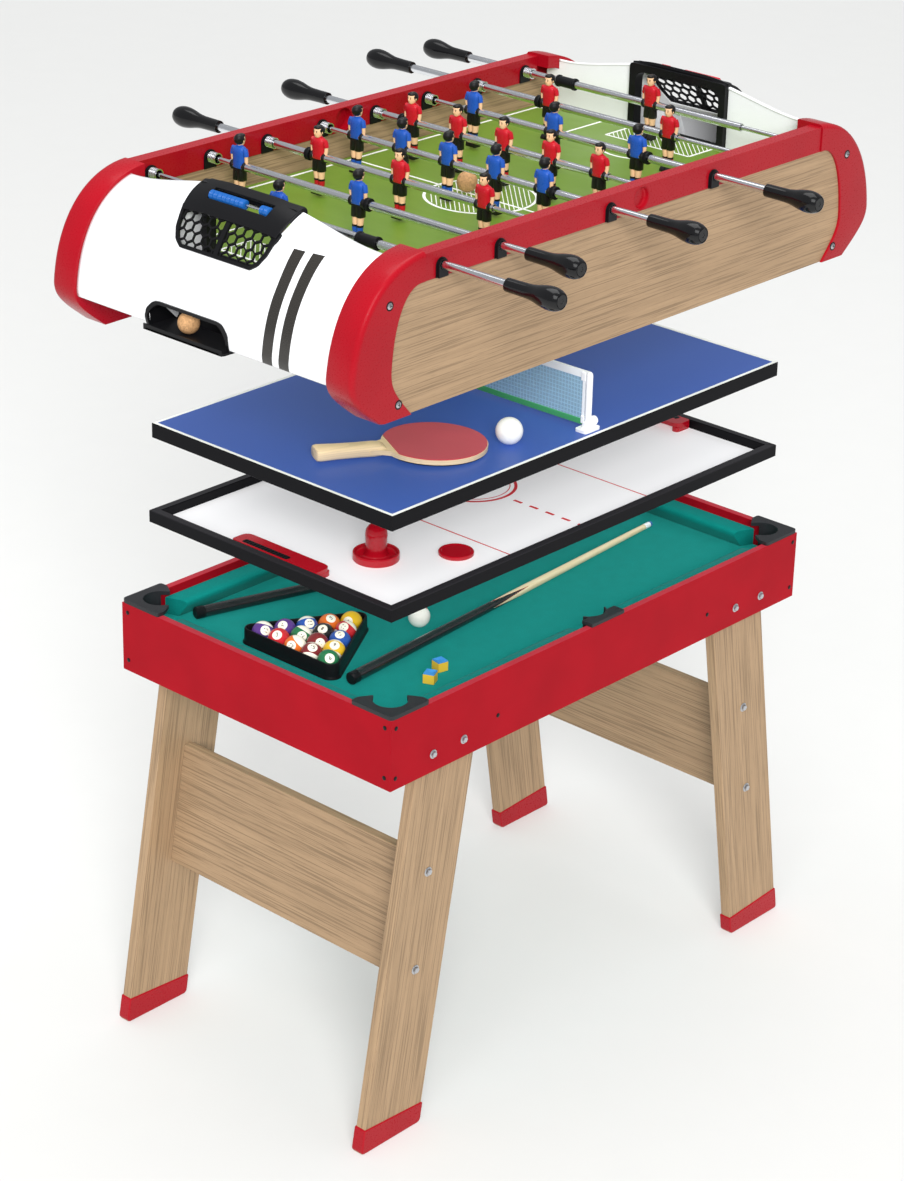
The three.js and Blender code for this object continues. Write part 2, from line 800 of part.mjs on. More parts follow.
// The front cue's butt lies beside the rack, the back cue's beside the back cushion.
const rackHalfWidth = (rackApothem - rackCornerRadius) * Math.sqrt(3) + rackCornerRadius;
const frontCueY = rackY - rackHalfWidth - frontCueGap - cueButtRadius;
const backCueY = innerWidth / 2 - cushionWidth - backCueGap - cueButtRadius;
const cues = [
  { name: "front", startShare: frontCueStartShare, y: frontCueY, turn: frontCueTurn },
  { name: "back", startShare: backCueStartShare, y: backCueY, turn: backCueTurn },
];
for (const { name, startShare, y, turn } of cues) {
  const cue = place(poolTable, `cue_${name}`, cueStick(), paleWood);
  cue.rotation.z = THREE.MathUtils.degToRad(turn);
  cue.position.set(startShare * innerLength, y, bedTop + touchGap + cueButtRadius);
}

// Puck game level

const rinkTop = hockeyBottom + hockeyBoardThickness;
const rinkLength = hockeyLength - 2 * hockeyRimWidth;
const rinkWidth = hockeyWidth - 2 * hockeyRimWidth;

function hockeyRim() {
  const outer = block(around(0, hockeyLength), around(0, hockeyWidth), [hockeyBottom, hockeyRimTop]);
  const height = [hockeyBottom - cutOverrun, hockeyRimTop + cutOverrun];
  return cut(outer, block(around(0, rinkLength), around(0, rinkWidth), height));
}
place(hockeyLevel, "hockey_rim", hockeyRim(), blackPlastic);
const rinkX = around(0, rinkLength - 2 * touchGap);
const rinkY = around(0, rinkWidth - 2 * touchGap);
place(hockeyLevel, "hockey_board", block(rinkX, rinkY, [hockeyBottom, rinkTop]), whitePlastic);

// A goal: a bar on the rink's end with a low slot towards the middle.
function puckGoal() {
  const end = -rinkLength / 2 + touchGap;
  const bottom = rinkTop + touchGap;
  const bar = block([end, end + puckGoalWidth], around(0, puckGoalLength), [bottom, bottom + puckGoalHeight]);
  const slotX = [end + puckGoalWidth - puckSlotDepth, end + puckGoalWidth + cutOverrun];
  const slotY = around(0, puckGoalLength - 2 * puckSlotMargin);
  return cut(bar, block(slotX, slotY, [bottom - cutOverrun, bottom + puckSlotHeight]));
}
for (const { name, side } of ends) {
  place(hockeyLevel, `hockey_goal_${name}`, mirrored(puckGoal(), -side, 1), redLacquer);
}

const pusher = turnedAboutZ([
  [0, 0],
  [pusherRadius, 0],
  [pusherRadius, pusherBaseHeight],
  [pusherRadius - pusherRimWidth, pusherBaseHeight],
  [pusherRadius - pusherRimWidth, pusherFloor],
  [pusherWaistRadius, pusherFloor],
  [pusherWaistRadius, pusherBaseHeight],
  [pusherKnobRadius, pusherHeight - pusherKnobRadius],
  [pusherKnobRadius * Math.SQRT1_2, pusherHeight - pusherKnobRadius * (1 - Math.SQRT1_2)],
  [0, pusherHeight],
]);
const pusherX = pusherPlaceShares[0] * rinkLength;
const pusherY = pusherPlaceShares[1] * rinkWidth;
place(hockeyLevel, "pusher", pusher.translate(pusherX, pusherY, rinkTop + touchGap), redLacquer);
const puckX = puckPlaceShares[0] * rinkLength;
const puckY = puckPlaceShares[1] * rinkWidth;
const puckHeights = [rinkTop + touchGap, rinkTop + touchGap + puckHeight];
place(hockeyLevel, "puck", postAlongZ(puckRadius, puckX, puckY, puckHeights), redLacquer);

// Table tennis level

const tennisHeights = [tennisTop - tennisThickness, tennisTop];
const tennisBoard = block(around(0, tennisLength), around(0, tennisWidth), tennisHeights);
place(tennisLevel, "tennis_board", tennisBoard, blueBoard);

// The net: two posts on feet, a tape, a bottom band and the cords between them.
function tennisNet() {
  const reach = tennisWidth / 2 - netInset;
  const bottom = tennisTop + touchGap;
  const top = bottom + netHeight;
  const bandTop = bottom + netFootHeight + netTapeHeight;
  const sheet = block(around(0, netThickness), around(0, 2 * reach), [bottom + netFootHeight, top]);
  const span = 2 * reach - 2 * netPostRadius;
  const columnPitch = (span - netCord) / netColumns;
  const rowPitch = (top - netTapeHeight - bandTop - netCord) / netRows;
  const gaps = [];
  for (let column = 0; column < netColumns; column++) {
    for (let row = 0; row < netRows; row++) {
      const y = -span / 2 + netCord + column * columnPitch;
      const z = bandTop + netCord + row * rowPitch;
      const gapX = around(0, netThickness + 2 * cutOverrun);
      gaps.push(block(gapX, [y, y + columnPitch - netCord], [z, z + rowPitch - netCord]));
    }
  }
  const tape = block(around(0, netTapeThickness), around(0, 2 * reach), [top - netTapeHeight, top]);
  const frames = [tape];
  for (const side of [-1, 1]) {
    const footY = around(side * reach, netFootWidth);
    frames.push(postAlongZ(netPostRadius, 0, side * reach, [bottom, top]));
    frames.push(block(around(0, netFootLength), footY, [bottom, bottom + netFootHeight]));
  }
  return join(cut(sheet, ...gaps), ...frames);
}
place(tennisLevel, "net", tennisNet(), netWhite);

// The bat lies on the board: a round blade that draws in to a flat handle.
function bat() {
  const headMiddle = batLength - batHeadLength / 2;
  const outline = [];
  const half = batHandleWidth / 2;
  const start = Math.asin(half / (batHeadWidth / 2)) * 2;
  for (let step = 0; step <= 2 * roundFacets; step++) {
    const angle = -Math.PI + start + (step * (Math.PI - start)) / roundFacets;
    const x = headMiddle + (batHeadLength / 2) * Math.cos(angle);
    outline.push([x, (batHeadWidth / 2) * Math.sin(angle)]);
  }
  outline.push([batHandleWidth * 2, half], [batHandleWidth * 2, -half]);
  const blade = alongZ(outline, around(0, batBladeThickness));
  const handleX = [0, batLength - batHeadLength];
  const handle = block(handleX, around(0, batHandleWidth), around(0, batHandleThickness));
  return join(blade, handle);
}
// It rests on the blade's far edge and on the handle where the blade begins.
const batTilt = Math.asin((batHandleThickness - batBladeThickness) / 2 / batHeadLength);
const batKneeRise = (batLength - batHeadLength) * Math.sin(batTilt);
const batKnee = batKneeRise + (batHandleThickness / 2) * Math.cos(batTilt);
const batMesh = place(tennisLevel, "bat", bat().rotateY(batTilt), paleWood);
batMesh.rotation.z = THREE.MathUtils.degToRad(batTurn);
const batX = batPlaceShares[0] * tennisLength;
const batY = batPlaceShares[1] * tennisWidth;
batMesh.position.set(batX, batY, tennisTop + touchGap + batKnee);
const tennisBallX = tennisBallPlaceShares[0] * tennisLength;
const tennisBallY = tennisBallPlaceShares[1] * tennisWidth;
const tennisBallHeight = tennisTop + touchGap + tennisBallRadius;
const tennisBall = ball(tennisBallRadius, tennisBallX, tennisBallY, tennisBallHeight);
place(tennisLevel, "tennis_ball", tennisBall, ivoryBall);

// Football module: the bulging outline of its ends

// A point that lies a share of the way from one point to another, each way by itself.
function between([x0, z0], [x1, z1], [shareX, shareZ]) {
  return new THREE.Vector2(x0 + (x1 - x0) * shareX, z0 + (z1 - z0) * shareZ);
}

// An outline from the rail's end out over the bulge and down to the bottom, for the left
// end. Its two stretches meet upright at the widest point.
function bulging(top, widest, bottomX) {
  const bottom = [bottomX, caseBottom];
  const upper = new THREE.CubicBezierCurve(
    new THREE.Vector2(...top),
    between(top, widest, bulgeTopPullShares),
    between(top, widest, bulgeSidePullShares),
    new THREE.Vector2(...widest),
  );
  const lower = new THREE.CubicBezierCurve(
    new THREE.Vector2(...widest),
    between(widest, bottom, bulgeUnderPullShares),
    between(widest, bottom, bulgeHeelPullShares),
    new THREE.Vector2(...bottom),
  );
  const points = [...upper.getPoints(curveSteps), ...lower.getPoints(curveSteps).slice(1)];
  return points.map(({ x, y }) => [-x, y]);
}

// The end's outline drawn in by an inset.
function bulge(inset) {
  const widest = [bulgeReach - inset, caseBottom + bulgeHeight];
  return bulging([railHalfLength, capTop - inset], widest, bottomReach - inset);
}

// The inner edge of a corner cap's face, beside the wood.
function bandEdge() {
  const widest = [capBandReach, caseBottom + bulgeHeight];
  return bulging([capBandTop, railBottom], widest, capBandBottom);
}

// Where an outline's upper stretch lies at a height.
function reachAt(outline, height) {
  const after = outline.findIndex(([, z]) => z <= height);
  const [x0, z0] = outline[after - 1];
  const [x1, z1] = outline[after];
  return THREE.MathUtils.mapLinear(height, z0, z1, x0, x1);
}

// The height of an outline's upper stretch at a distance from the table's middle.
function heightAt(outline, reach) {
  const after = outline.findIndex(([x]) => -x >= reach);
  const [x0, z0] = outline[after - 1];
  const [x1, z1] = outline[after];
  return THREE.MathUtils.mapLinear(-reach, x0, x1, z0, z1);
}

// A corner cap: a band round the end of the side panel and a flange over its face.
function cornerCap() {
  const backOutline = [...bulge(capThickness)].reverse();
  const section = (inset, y) => ({ y, points: [...bulge(inset), ...backOutline] });
  const roundDepth = capRound * (1 - Math.SQRT1_2);
  const band = lofted([
    section(capRound, -capOuter),
    section(roundDepth, -capOuter + roundDepth),
    section(0, -capOuter + capRound),
    section(0, -capInner),
  ]);
  const face = [...bulge(capRound), ...bandEdge().reverse(), [-railHalfLength, railBottom]];
  const flange = alongY(face, [-capOuter, -sideOuter - touchGap]);
  const plateStart = endWallReach + endWall + touchGap;
  const plateTop = [-plateStart, heightAt(bulge(capThickness / 2), plateStart)];
  const plateOutline = [plateTop, ...endOutline(capThickness / 2), [-plateStart, caseBottom]];
  return join(band, flange, alongY(plateOutline, [-capInner - capPlate, -capInner]));
}

for (const end of ends) {
  for (const front of fronts) {
    const name = `corner_cap_${front.name}_${end.name}`;
    place(footballLevel, name, mirrored(cornerCap(), -end.side, -front.side), redLacquer);
  }
}

// A side panel: the wood board under the rail, with its ends inside the caps.
function sidePanel() {
  const leftEnd = bulge(capThickness + touchGap).map(([x, z]) => [x, Math.max(z, caseBottom)]);
  const rightEnd = leftEnd.map(([x, z]) => [-x, z]).reverse();
  const outline = [
    [-railHalfLength, railBottom - touchGap],
    ...leftEnd,
    ...rightEnd,
    [railHalfLength, railBottom - touchGap],
  ];
  return alongY(outline, [-sideOuter, -sideInner]);
}
for (const { name, side } of fronts) {
  place(footballLevel, `side_${name}`, mirrored(sidePanel(), 1, -side), oakFoil);
}

// The pitch board
const pitchX = around(0, 2 * (endWallReach - touchGap));
const pitchY = around(0, 2 * (sideInner - touchGap));
place(footballLevel, "playfield", block(pitchX, pitchY, [pitchUnderside, pitchTop]), greenPitch);

// How much the end shell's edge rises at a distance from the middle of the end: all of
// it along the goal, then dying away smoothly towards the caps.
function riseAt(y) {
  const share = THREE.MathUtils.smoothstep(Math.abs(y), archFlat, archEnd);
  return archRise * (1 - share);
}

// A point of the outline lifted by the rise, more the higher it lies.
function lifted([x, z], y) {
  const share = THREE.MathUtils.smoothstep(z, capTop - archDrop, capTop);
  return [x, z + riseAt(y) * share];
}

// The part of the bulge that lies outside the end wall.
function endOutline(inset) {
  return bulge(inset).filter(([x]) => -x > endWallReach + endWall);
}

// A section of a skin that lies under the end's outline by a recess, closed towards the
// pitch by the end wall.
function skinSection(y, recess, wall) {
  const outer = endOutline(recess);
  const inner = endOutline(recess + wall).reverse();
  const ridge = heightAt(bulge(recess), endWallReach);
  const underRidge = heightAt(bulge(recess + wall), endWallReach + endWall);
  const outline = [
    [-endWallReach, wallBottom],
    [-endWallReach, ridge],
    ...outer,
    ...inner,
    [-endWallReach - endWall, underRidge],
    [-endWallReach - endWall, wallBottom],
  ];
  return { y, points: outline.map((point) => lifted(point, y)) };
}

// The height of the skin's ridge over the end wall at a distance from the middle.
function ridgeAt(y, recess) {
  return lifted([-endWallReach, heightAt(bulge(recess), endWallReach)], y)[1];
}

// The prism that divides the housing from the shell, grown by a clearance.
function housingPrism(grow) {
  const half = housingOutlineShares.map(([width, drop]) => [
    width * goalHalfWidth + grow,
    capTop - drop * housingDrop - grow,
  ]);
  const side = [[half[0][0], capTop + archRise + cutOverrun], ...half];
  const outline = [...side, ...side.map(([y, z]) => [-y, z]).reverse()];
  return alongX(outline, [-bulgeReach - cutOverrun, cutOverrun - endWallReach]);
}

const shellStations = archShares.map((share) => archFlat + (capInner - touchGap - archFlat) * share);
const wallBottom = pitchUnderside - touchGap;

// The mouth of the tray, grown by a clearance and open below.
function trayMouth(grow) {
  const half = trayHalfLength + grow;
  const top = caseBottom + trayTop + grow;
  const outline = [
    [trayOffset - half, caseBottom],
    [trayOffset - half, top - trayCorner],
    [trayOffset - half + trayCorner, top],
    [trayOffset + half - trayCorner, top],
    [trayOffset + half, top - trayCorner],
    [trayOffset + half, caseBottom],
  ];
  return alongX(outline, [-bulgeReach - cutOverrun, -trayReach]);
}

// The white end shell: hood and end wall, cut for the goal and for the tray.
function endShell() {
  const left = shellStations.map((y) => skinSection(-y, shellRecess, shellWall));
  const right = [...shellStations].reverse().map((y) => skinSection(y, shellRecess, shellWall));
  const hood = lofted([...left, ...right]);
  const wallTop = heightAt(bulge(capThickness + touchGap), endWallReach + endWall);
  const wall = block(
    [-endWallReach - endWall, -endWallReach],
    around(0, 2 * (sideInner - touchGap)),
    [wallBottom, wallTop],
  );
  const goalY = around(0, 2 * (goalHalfWidth + touchGap));
  const goalZ = [pitchTop, capTop + archRise + cutOverrun];
  const goalMouth = block([-endWallReach - endWall - cutOverrun, cutOverrun - endWallReach], goalY, goalZ);
  const below = block(
    [-bulgeReach - cutOverrun, -endWallReach - endWall - touchGap],
    around(0, caseWidth),
    [caseBottom - cutOverrun, caseBottom + shellBottom],
  );
  return cut(join(hood, wall), goalMouth, below, housingPrism(touchGap), trayMouth(0));
}

// The goal housing's skin: the hexagon net's plate and the thicker hood above it.
function housingSkin() {
  const stations = [-goalHalfWidth, -archFlat, archFlat, goalHalfWidth];
  const plate = lofted(stations.map((y) => skinSection(y, shellRecess, shellWall)));
  const hood = lofted(stations.map((y) => skinSection(y, hoodRecess, hoodWall)));
  const belowHood = block(
    [-bulgeReach - cutOverrun, cutOverrun - endWallReach],
    around(0, caseWidth),
    [caseBottom, hoodBottom],
  );
  const walled = common(join(plate, cut(hood, belowHood)), housingPrism(0));
  const mouthY = around(0, 2 * (goalHalfWidth - goalPostWidth));
  const mouthTop = ridgeAt(goalHalfWidth, hoodRecess) - goalPostWidth;
  const mouth = block(
    [-endWallReach - endWall - cutOverrun, cutOverrun - endWallReach],
    mouthY,
    [pitchTop - cutOverrun, mouthTop],
  );
  return cut(walled, mouth);
}

// The hexagon holes, square to the slope of the net and clear of its middle rib.
function hexHoles() {
  const outline = bulge(shellRecess).map((point) => lifted(point, 0));
  const [z0, z1] = [hoodBottom, capTop - housingDrop];
  const [x0, x1] = [reachAt(outline, z0), reachAt(outline, z1)];
  const along = new THREE.Vector2(x1 - x0, z1 - z0);
  const length = along.length();
  along.normalize();
  const tilt = Math.atan2(-along.x, -along.y);
  const hexRadius = (hexPitch - hexWeb) / Math.sqrt(3);
  const rowPitch = length / hexRows;
  const holes = [];
  for (let row = 0; row < hexRows; row++) {
    const down = hexMargin + rowPitch * (row + 1 / 2);
    // Every other row stands half a hexagon further along, a quarter each way of the middle.
    const stagger = (row % 2) / 2 - 1 / 4;
    for (let column = 0; column < hexColumns; column++) {
      const y = (column - (hexColumns - 1) / 2 + stagger) * hexPitch;
      const clearOfRib = Math.abs(y) > hexRadius + ribWidth / 2;
      const insideHousing = Math.abs(y) + hexRadius < goalHalfWidth - hexMargin - (row * hexPitch) / hexRows;
      if (clearOfRib && insideHousing) {
        const hole = new THREE.CylinderGeometry(hexRadius, hexRadius, housingDrop, hexSides);
        hole.rotateX(Math.PI / 2).rotateZ(Math.PI / hexSides).rotateY(-Math.PI / 2 + tilt);
        holes.push(hole.translate(x0 + along.x * down, y, z0 + along.y * down));
      }
    }
  }
  return holes;
}

// The housing's top over the score slot, and the wire below it.
const plateHeight = lifted([-slotReach, heightAt(bulge(hoodRecess), slotReach)], 0)[1];
const wireHeight = plateHeight - wireDrop;
const beadPlaces = slotHalfLength - touchGap;

// Beads on the score wire as one turned profile: each bead swells from a waist.
function beadProfile(count, boreRadius) {
  const profile = [[boreRadius, 0]];
  for (let bead = 0; bead < count; bead++) {
    const start = bead * beadWidth;
    profile.push([beadWaistRadius, start]);
    profile.push([beadRadius, start + beadWidth / 4]);
    profile.push([beadRadius, start + (3 * beadWidth) / 4]);
  }
  profile.push([beadWaistRadius, count * beadWidth]);
  profile.push([boreRadius, count * beadWidth]);
  profile.push([boreRadius, 0]);
  return profile;
}

function goalHousing() {
  const slotY = around(0, 2 * slotHalfLength);
  const slotZ = [capTop - capThickness, capTop + archRise + cutOverrun];
  const slot = block(around(-slotReach, slotWidth), slotY, slotZ);
  const skin = cut(housingSkin(), slot, ...hexHoles());
  const wireY = around(0, 2 * (slotHalfLength + cutOverrun));
  const wire = rodAlongY(wireRadius, -slotReach, wireY, wireHeight, thinFacets);
  const parked = turnedAboutY(beadProfile(parkedBeads, wireRadius / 2), beadFacets);
  parked.translate(-slotReach, beadPlaces - parkedBeads * beadWidth, wireHeight);
  const pieces = [skin, wire, parked];
  for (const side of [-1, 1]) {
    // Lugs under the plate hold the wire's ends, and a post stands at each side of the mouth.
    const lugY = around(side * (slotHalfLength + cutOverrun / 2), cutOverrun);
    const lugTop = plateHeight - hoodWall / 2;
    pieces.push(block(around(-slotReach, 2 * beadWaistRadius), lugY, [wireHeight - beadRadius, lugTop]));
    const postY = around(side * (goalHalfWidth - goalPostWidth / 2), goalPostWidth);
    const postTop = ridgeAt(goalHalfWidth, hoodRecess) - shellWall / 2;
    const postX = [-endWallReach - endWall - chuteThickness, goalPostDepth - endWallReach];
    pieces.push(block(postX, postY, [pitchTop + touchGap, postTop]));
  }
  return join(...pieces, chuteAndTray());
}

// A steep plate from the goal line down to the tray, whose lip stands out of the shell.
function chuteAndTray() {
  const topX = -endWallReach - endWall - touchGap;
  const floor = caseBottom + trayFloor;
  const front = bulgeReach - shellRecess;
  const section = [
    [topX, pitchTop - touchGap],
    [topX, pitchTop + chuteThickness],
    [topX - chuteThickness, pitchTop + chuteThickness],
    [-trayReach - chuteThickness, floor + chuteThickness],
    [-trayReach - chuteThickness, floor],
    [-trayReach, floor],
  ];
  const chute = alongY(section, [-goalHalfWidth, trayOffset + trayHalfLength]);
  const lipY = around(trayOffset, 2 * (trayHalfLength - touchGap));
  const lip = join(
    block([-front - trayLip, -trayReach], lipY, [floor, floor + chuteThickness]),
    block([-front - trayLip, -front - trayLip + chuteThickness], lipY, [floor, floor + trayLipHeight]),
  );
  const cheek = [
    [topX - chuteThickness, pitchTop - touchGap],
    [-trayReach - chuteThickness, floor],
    [-trayCheekReach, floor],
    [-trayCheekReach, caseBottom + trayTop],
  ];
  const cheeks = [
    alongY(cheek, [trayOffset - trayHalfLength, trayOffset - trayHalfLength + chuteThickness]),
    alongY(cheek, [trayOffset + trayHalfLength - chuteThickness, trayOffset + trayHalfLength]),
  ];
  return join(chute, lip, ...cheeks);
}

const looseBeads = turnedAboutY(beadProfile(movedBeads, wireRadius + beadWall), beadFacets);
looseBeads.translate(-slotReach, -beadPlaces, wireHeight);

const beadColours = { left: blueBead, right: redBead };
for (const { name, side } of ends) {
  const turn = side < 0 ? 0 : Math.PI;
  place(footballLevel, `end_${name}`, endShell(), whitePlastic).rotation.z = turn;
  place(footballLevel, `goal_${name}`, goalHousing(), blackPlastic).rotation.z = turn;
  place(footballLevel, `score_beads_${name}`, looseBeads.clone(), beadColours[name]).rotation.z = turn;
}

// Rods: what each one measures across the table

function measuresOf(rod, index) {
  const x = (index - (rodCount - 1) / 2) * rodPitch;
  const spacing = rod.spacingShare * pitchWidth;
  const shift = rod.side * rod.shiftShare * pitchWidth;
  const halfSpan = ((rod.players - 1) * spacing) / 2;
  const keeper = rod.players === 1;
  const sleeveNear = keeperSleeveShare * pitchWidth - keeperSleeveLength / 2;
  const ringLength = keeper ? keeperSleeveLength : stopRingLength;
  const ringNear = keeper ? sleeveNear : halfSpan + playerHalfWidth + touchGap;
  const ringFar = ringNear + ringLength;
  const travel = railInner - collarLength - ringFar - touchGap;
  const tail = keeper ? keeperTailShare * pitchWidth : halfSpan + tubeTail;
  return { ...rod, x, spacing, shift, halfSpan, ringNear, ringFar, travel, tail };
}
const rodMeasures = rods.map(measuresOf);

// The rail over a side panel: bored for the rods, with a bush round each handle's
// rod, a sprung collar inside, and the thin inner rods of the other team's tubes.
function rail(side) {
  const beamX = around(0, 2 * (railHalfLength - touchGap));
  const beam = block(beamX, [railInner, railOuter], [railBottom, caseTop]);
  const added = [beam];
  const bores = [];
  for (const rod of rodMeasures) {
    const collarY = [railInner - collarLength, railInner + panelWall / 2];
    added.push(rodAlongY(collarRadius, rod.x, collarY, rodHeight, thinFacets));
    if (rod.side === side) {
      const bushZ = [railBottom, rodHeight + bushRise];
      added.push(block(around(rod.x, bushWidth), [railOuter - panelWall / 2, railOuter + bushProud], bushZ));
      const boreY = [railInner - collarLength - cutOverrun, railOuter + bushProud + cutOverrun];
      bores.push(rodAlongY(rodRadius + rodRunning, rod.x, boreY, rodHeight));
    } else {
      const tip = rod.tail - rod.travel - innerRodEngage;
      const innerY = [tip, railInner + panelWall / 2];
      added.push(rodAlongY(innerRodRadius, rod.x, innerY, rodHeight, thinFacets));
    }
  }
  return cut(join(...added), ...bores);
}
for (const { name, side } of fronts) {
  place(footballLevel, `rail_${name}`, mirrored(rail(side), 1, side), redLacquer);
}

// A player, facing -X, with the rod through the hips. Heights are from the rod.
function player() {
  const boots = block([-bootToe, bootHeel], around(0, bootWidth), [-soleDrop, -kneeDrop]);
  const body = stacked([
    [-kneeDrop - touchGap, legsWidth, legsDepth],
    [-beltDrop, hipWidth, hipDepth],
    [shoulderRise, torsoWidth, torsoDepth],
  ]);
  const head = ball(headRadius, 0, 0, 0, thinFacets).scale(1, 1, headHalfHeight / headRadius);
  const fists = rodAlongY(fistRadius, 0, around(0, 2 * playerHalfWidth), 0, fistFacets);
  return join(body, boots, head.translate(-playerLean, 0, headRise), fists);
}
const playerShape = player();

// A handle along +Y from its inner end: slim neck, waist and bulb.
function handle() {
  const profile = [
    [0, 0],
    [handleRadius, 0],
    [handleRadius, handleLength * (handleWaistShare / 2)],
    [handleWaistRadius, handleLength * handleWaistShare],
    [handleBulbRadius, handleLength * handleBulbShare],
    [handleEndRadius, handleLength * handleEndShare],
    [0, handleLength],
  ];
  return turnedAboutY(profile, rodFacets);
}

// A rod as if its handle were at +Y: tube with a bore for the inner rod, players and
// handle. It is turned half round for a handle at the front.
function rodWithPlayers(rod) {
  const handleStart = railOuter + rod.gapShare * caseWidth;
  const innerEnd = rod.shift - rod.tail;
  const tube = rodAlongY(rodRadius, 0, [innerEnd, handleStart + handleLength / 2], 0);
  const men = [];
  for (let man = 0; man < rod.players; man++) {
    const y = rod.shift + (man - (rod.players - 1) / 2) * rod.spacing;
    men.push(playerShape.clone().translate(0, y, 0));
  }
  const grip = handle().translate(0, handleStart, 0);
  const boreLength = 2 * rod.travel + innerRodEngage + collarLength;
  const boreRadius = innerRodRadius + innerRodRunning;
  const bore = rodAlongY(boreRadius, 0, [innerEnd - cutOverrun, innerEnd + boreLength], 0, thinFacets);
  return cut(join(tube, ...men, grip), bore);
}

// The ring, or a goalkeeper's long sleeve, that rides on the tube and meets the collar.
function stopRing(rod) {
  const inner = rodRadius + rodRunning;
  return turnedAboutY(
    [
      [inner, rod.shift + rod.ringNear],
      [stopRingRadius, rod.shift + rod.ringNear],
      [stopRingRadius, rod.shift + rod.ringFar],
      [inner, rod.shift + rod.ringFar],
      [inner, rod.shift + rod.ringNear],
    ],
    rodFacets,
  );
}

rodMeasures.forEach((rod, index) => {
  const turn = rod.side < 0 ? Math.PI : 0;
  const pieces = [
    place(footballLevel, `rod_${index + 1}`, rodWithPlayers(rod), chrome),
    place(footballLevel, `stop_ring_${index + 1}`, stopRing(rod), blackPlastic),
  ];
  for (const piece of pieces) {
    piece.rotation.z = turn;
    piece.position.set(rod.x, 0, rodHeight);
  }
});

export default table;
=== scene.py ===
"""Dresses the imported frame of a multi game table: pool table, puck game, table tennis
board and football module.

Sizes here are millimetres in the frame's own axes: X along the table, Y across it with
the front at -Y, Z up from the floor. They are turned to metres where a mesh is made.
"""

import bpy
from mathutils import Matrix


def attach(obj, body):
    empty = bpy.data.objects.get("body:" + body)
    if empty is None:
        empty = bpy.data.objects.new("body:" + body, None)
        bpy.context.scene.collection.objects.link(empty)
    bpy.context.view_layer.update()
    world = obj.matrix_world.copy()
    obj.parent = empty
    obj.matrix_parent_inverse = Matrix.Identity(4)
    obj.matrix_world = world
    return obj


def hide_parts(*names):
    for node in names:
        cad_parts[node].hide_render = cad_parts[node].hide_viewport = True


bl_info = {
    "name": "Multi game table", "version": (1, 0, 0), "blender": (4, 5, 0),
    "location": "View3D > Sidebar > Game Table",
    "description": "Builds the looks of a multi game table around its CAD frame",
    "category": "Object"}

import math
from functools import partial

import bmesh
import bpy
import numpy as np
from bpy.props import FloatProperty, FloatVectorProperty, PointerProperty
from mathutils import Matrix, Vector
from mathutils.geometry import tessellate_polygon

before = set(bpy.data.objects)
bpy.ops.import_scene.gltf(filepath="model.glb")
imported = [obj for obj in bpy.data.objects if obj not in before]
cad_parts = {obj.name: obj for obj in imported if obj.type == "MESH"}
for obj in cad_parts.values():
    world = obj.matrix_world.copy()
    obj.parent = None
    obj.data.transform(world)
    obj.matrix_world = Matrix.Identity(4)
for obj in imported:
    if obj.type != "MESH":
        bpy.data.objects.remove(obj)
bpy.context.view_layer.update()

MM = 0.001
# The gap between two pieces that touch, and how far a print stands out and is sunk
GAP, RELIEF, SUNK = 0.3, 0.25, 0.05

# Pool table

APRON_X, APRON_Y = 465, 276
APRON_WALL = 12
APRON_BOTTOM, APRON_TOP = 594, 704
INNER_X, INNER_Y = 453, 264
BED_UNDER, BED_TOP = 652, 664
PLATE_TOP = 710
POCKET_R, POCKET_WALL = 25, 2.5
CORNER_X, CORNER_Y = 425.2, 236.2
MIDDLE_Y = 237.7
CUP_BOTTOM = 638
CUSHION_TOP, CUSHION_DEPTH, CUSHION_FOOT, NOSE_DROP = 692, 34, 22, 9
CUSHION_END = 391
LEG_HALF, LEG_FACE, LEG_INNER = 60.5, 263.7, 245.7
LEG_TOP = 651.7
LEG_FOOT_X, LEG_SLOPE = 440, 0.17172
PANEL_Z, PANEL_HALF, PANEL_REACH = (252, 442), 8, 245.4
BALL_R, BALL_PITCH = 17, 33.88
RACK_AT, RACK_APOTHEM, RACK_CORNER, RACK_WALL = (-318.0, 20.06), 60.12, 14, 4
RACK_Z, RACK_HEIGHT = 664.3, 24
CUE_BALL_AT = (-152.2, -35.9)
CUE_LENGTH, CUE_BUTT, CUE_TIP = 761.95, 9.5, 4.5
CUE_AXIS_Z = 673.8
CUES = {"front": ((-366.0, -100.9), 4.6), "back": ((-372.0, 218.0), -16.0)}
CHALKS = [((-277, -175), 24), ((-238, -158), -12)]
CHALK_HALF, CHALK_HEIGHT = 8.5, 17.2
FOOT_PROUD, FOOT_INNER, FOOT_OUTER = 2, 32, 40
LONG_SCREWS, END_SCREWS = [(242, 634), (455, 690), (455, 612)], [(264, 690), (264, 612)]
# Each bolt of a corner: X, Z, the face it stands on and the size of its hexagon
BOLTS = [(314, 622, APRON_Y, 5), (378, 622, APRON_Y, 5)]
BOLTS += [(370, 424, LEG_FACE, 5.5), (393, 270, LEG_FACE, 5.5)]

# Puck game

RIM_X, RIM_Y, RIM_WIDTH = 435, 245, 13
RINK_UNDER, RINK_TOP, RIM_TOP = 834, 839, 853
PUCK_GOAL = (389.7, 421.7, 85, 839.3, 853.3)
PUCK_AT, PUSHER_AT = (-209.3, -158.2), (-304.3, -90.2)
# The print: each ring's radius and width, the dashes' first place, end and pitch
RINGS, DASHES, DASH_LONG, PRINT_WIDE = [(66, 5), (57, 1.6)], (84, 215, 31.5), 16, 5
ZONE_X, ZONE_WIDE = 155, 2.4

# Table tennis

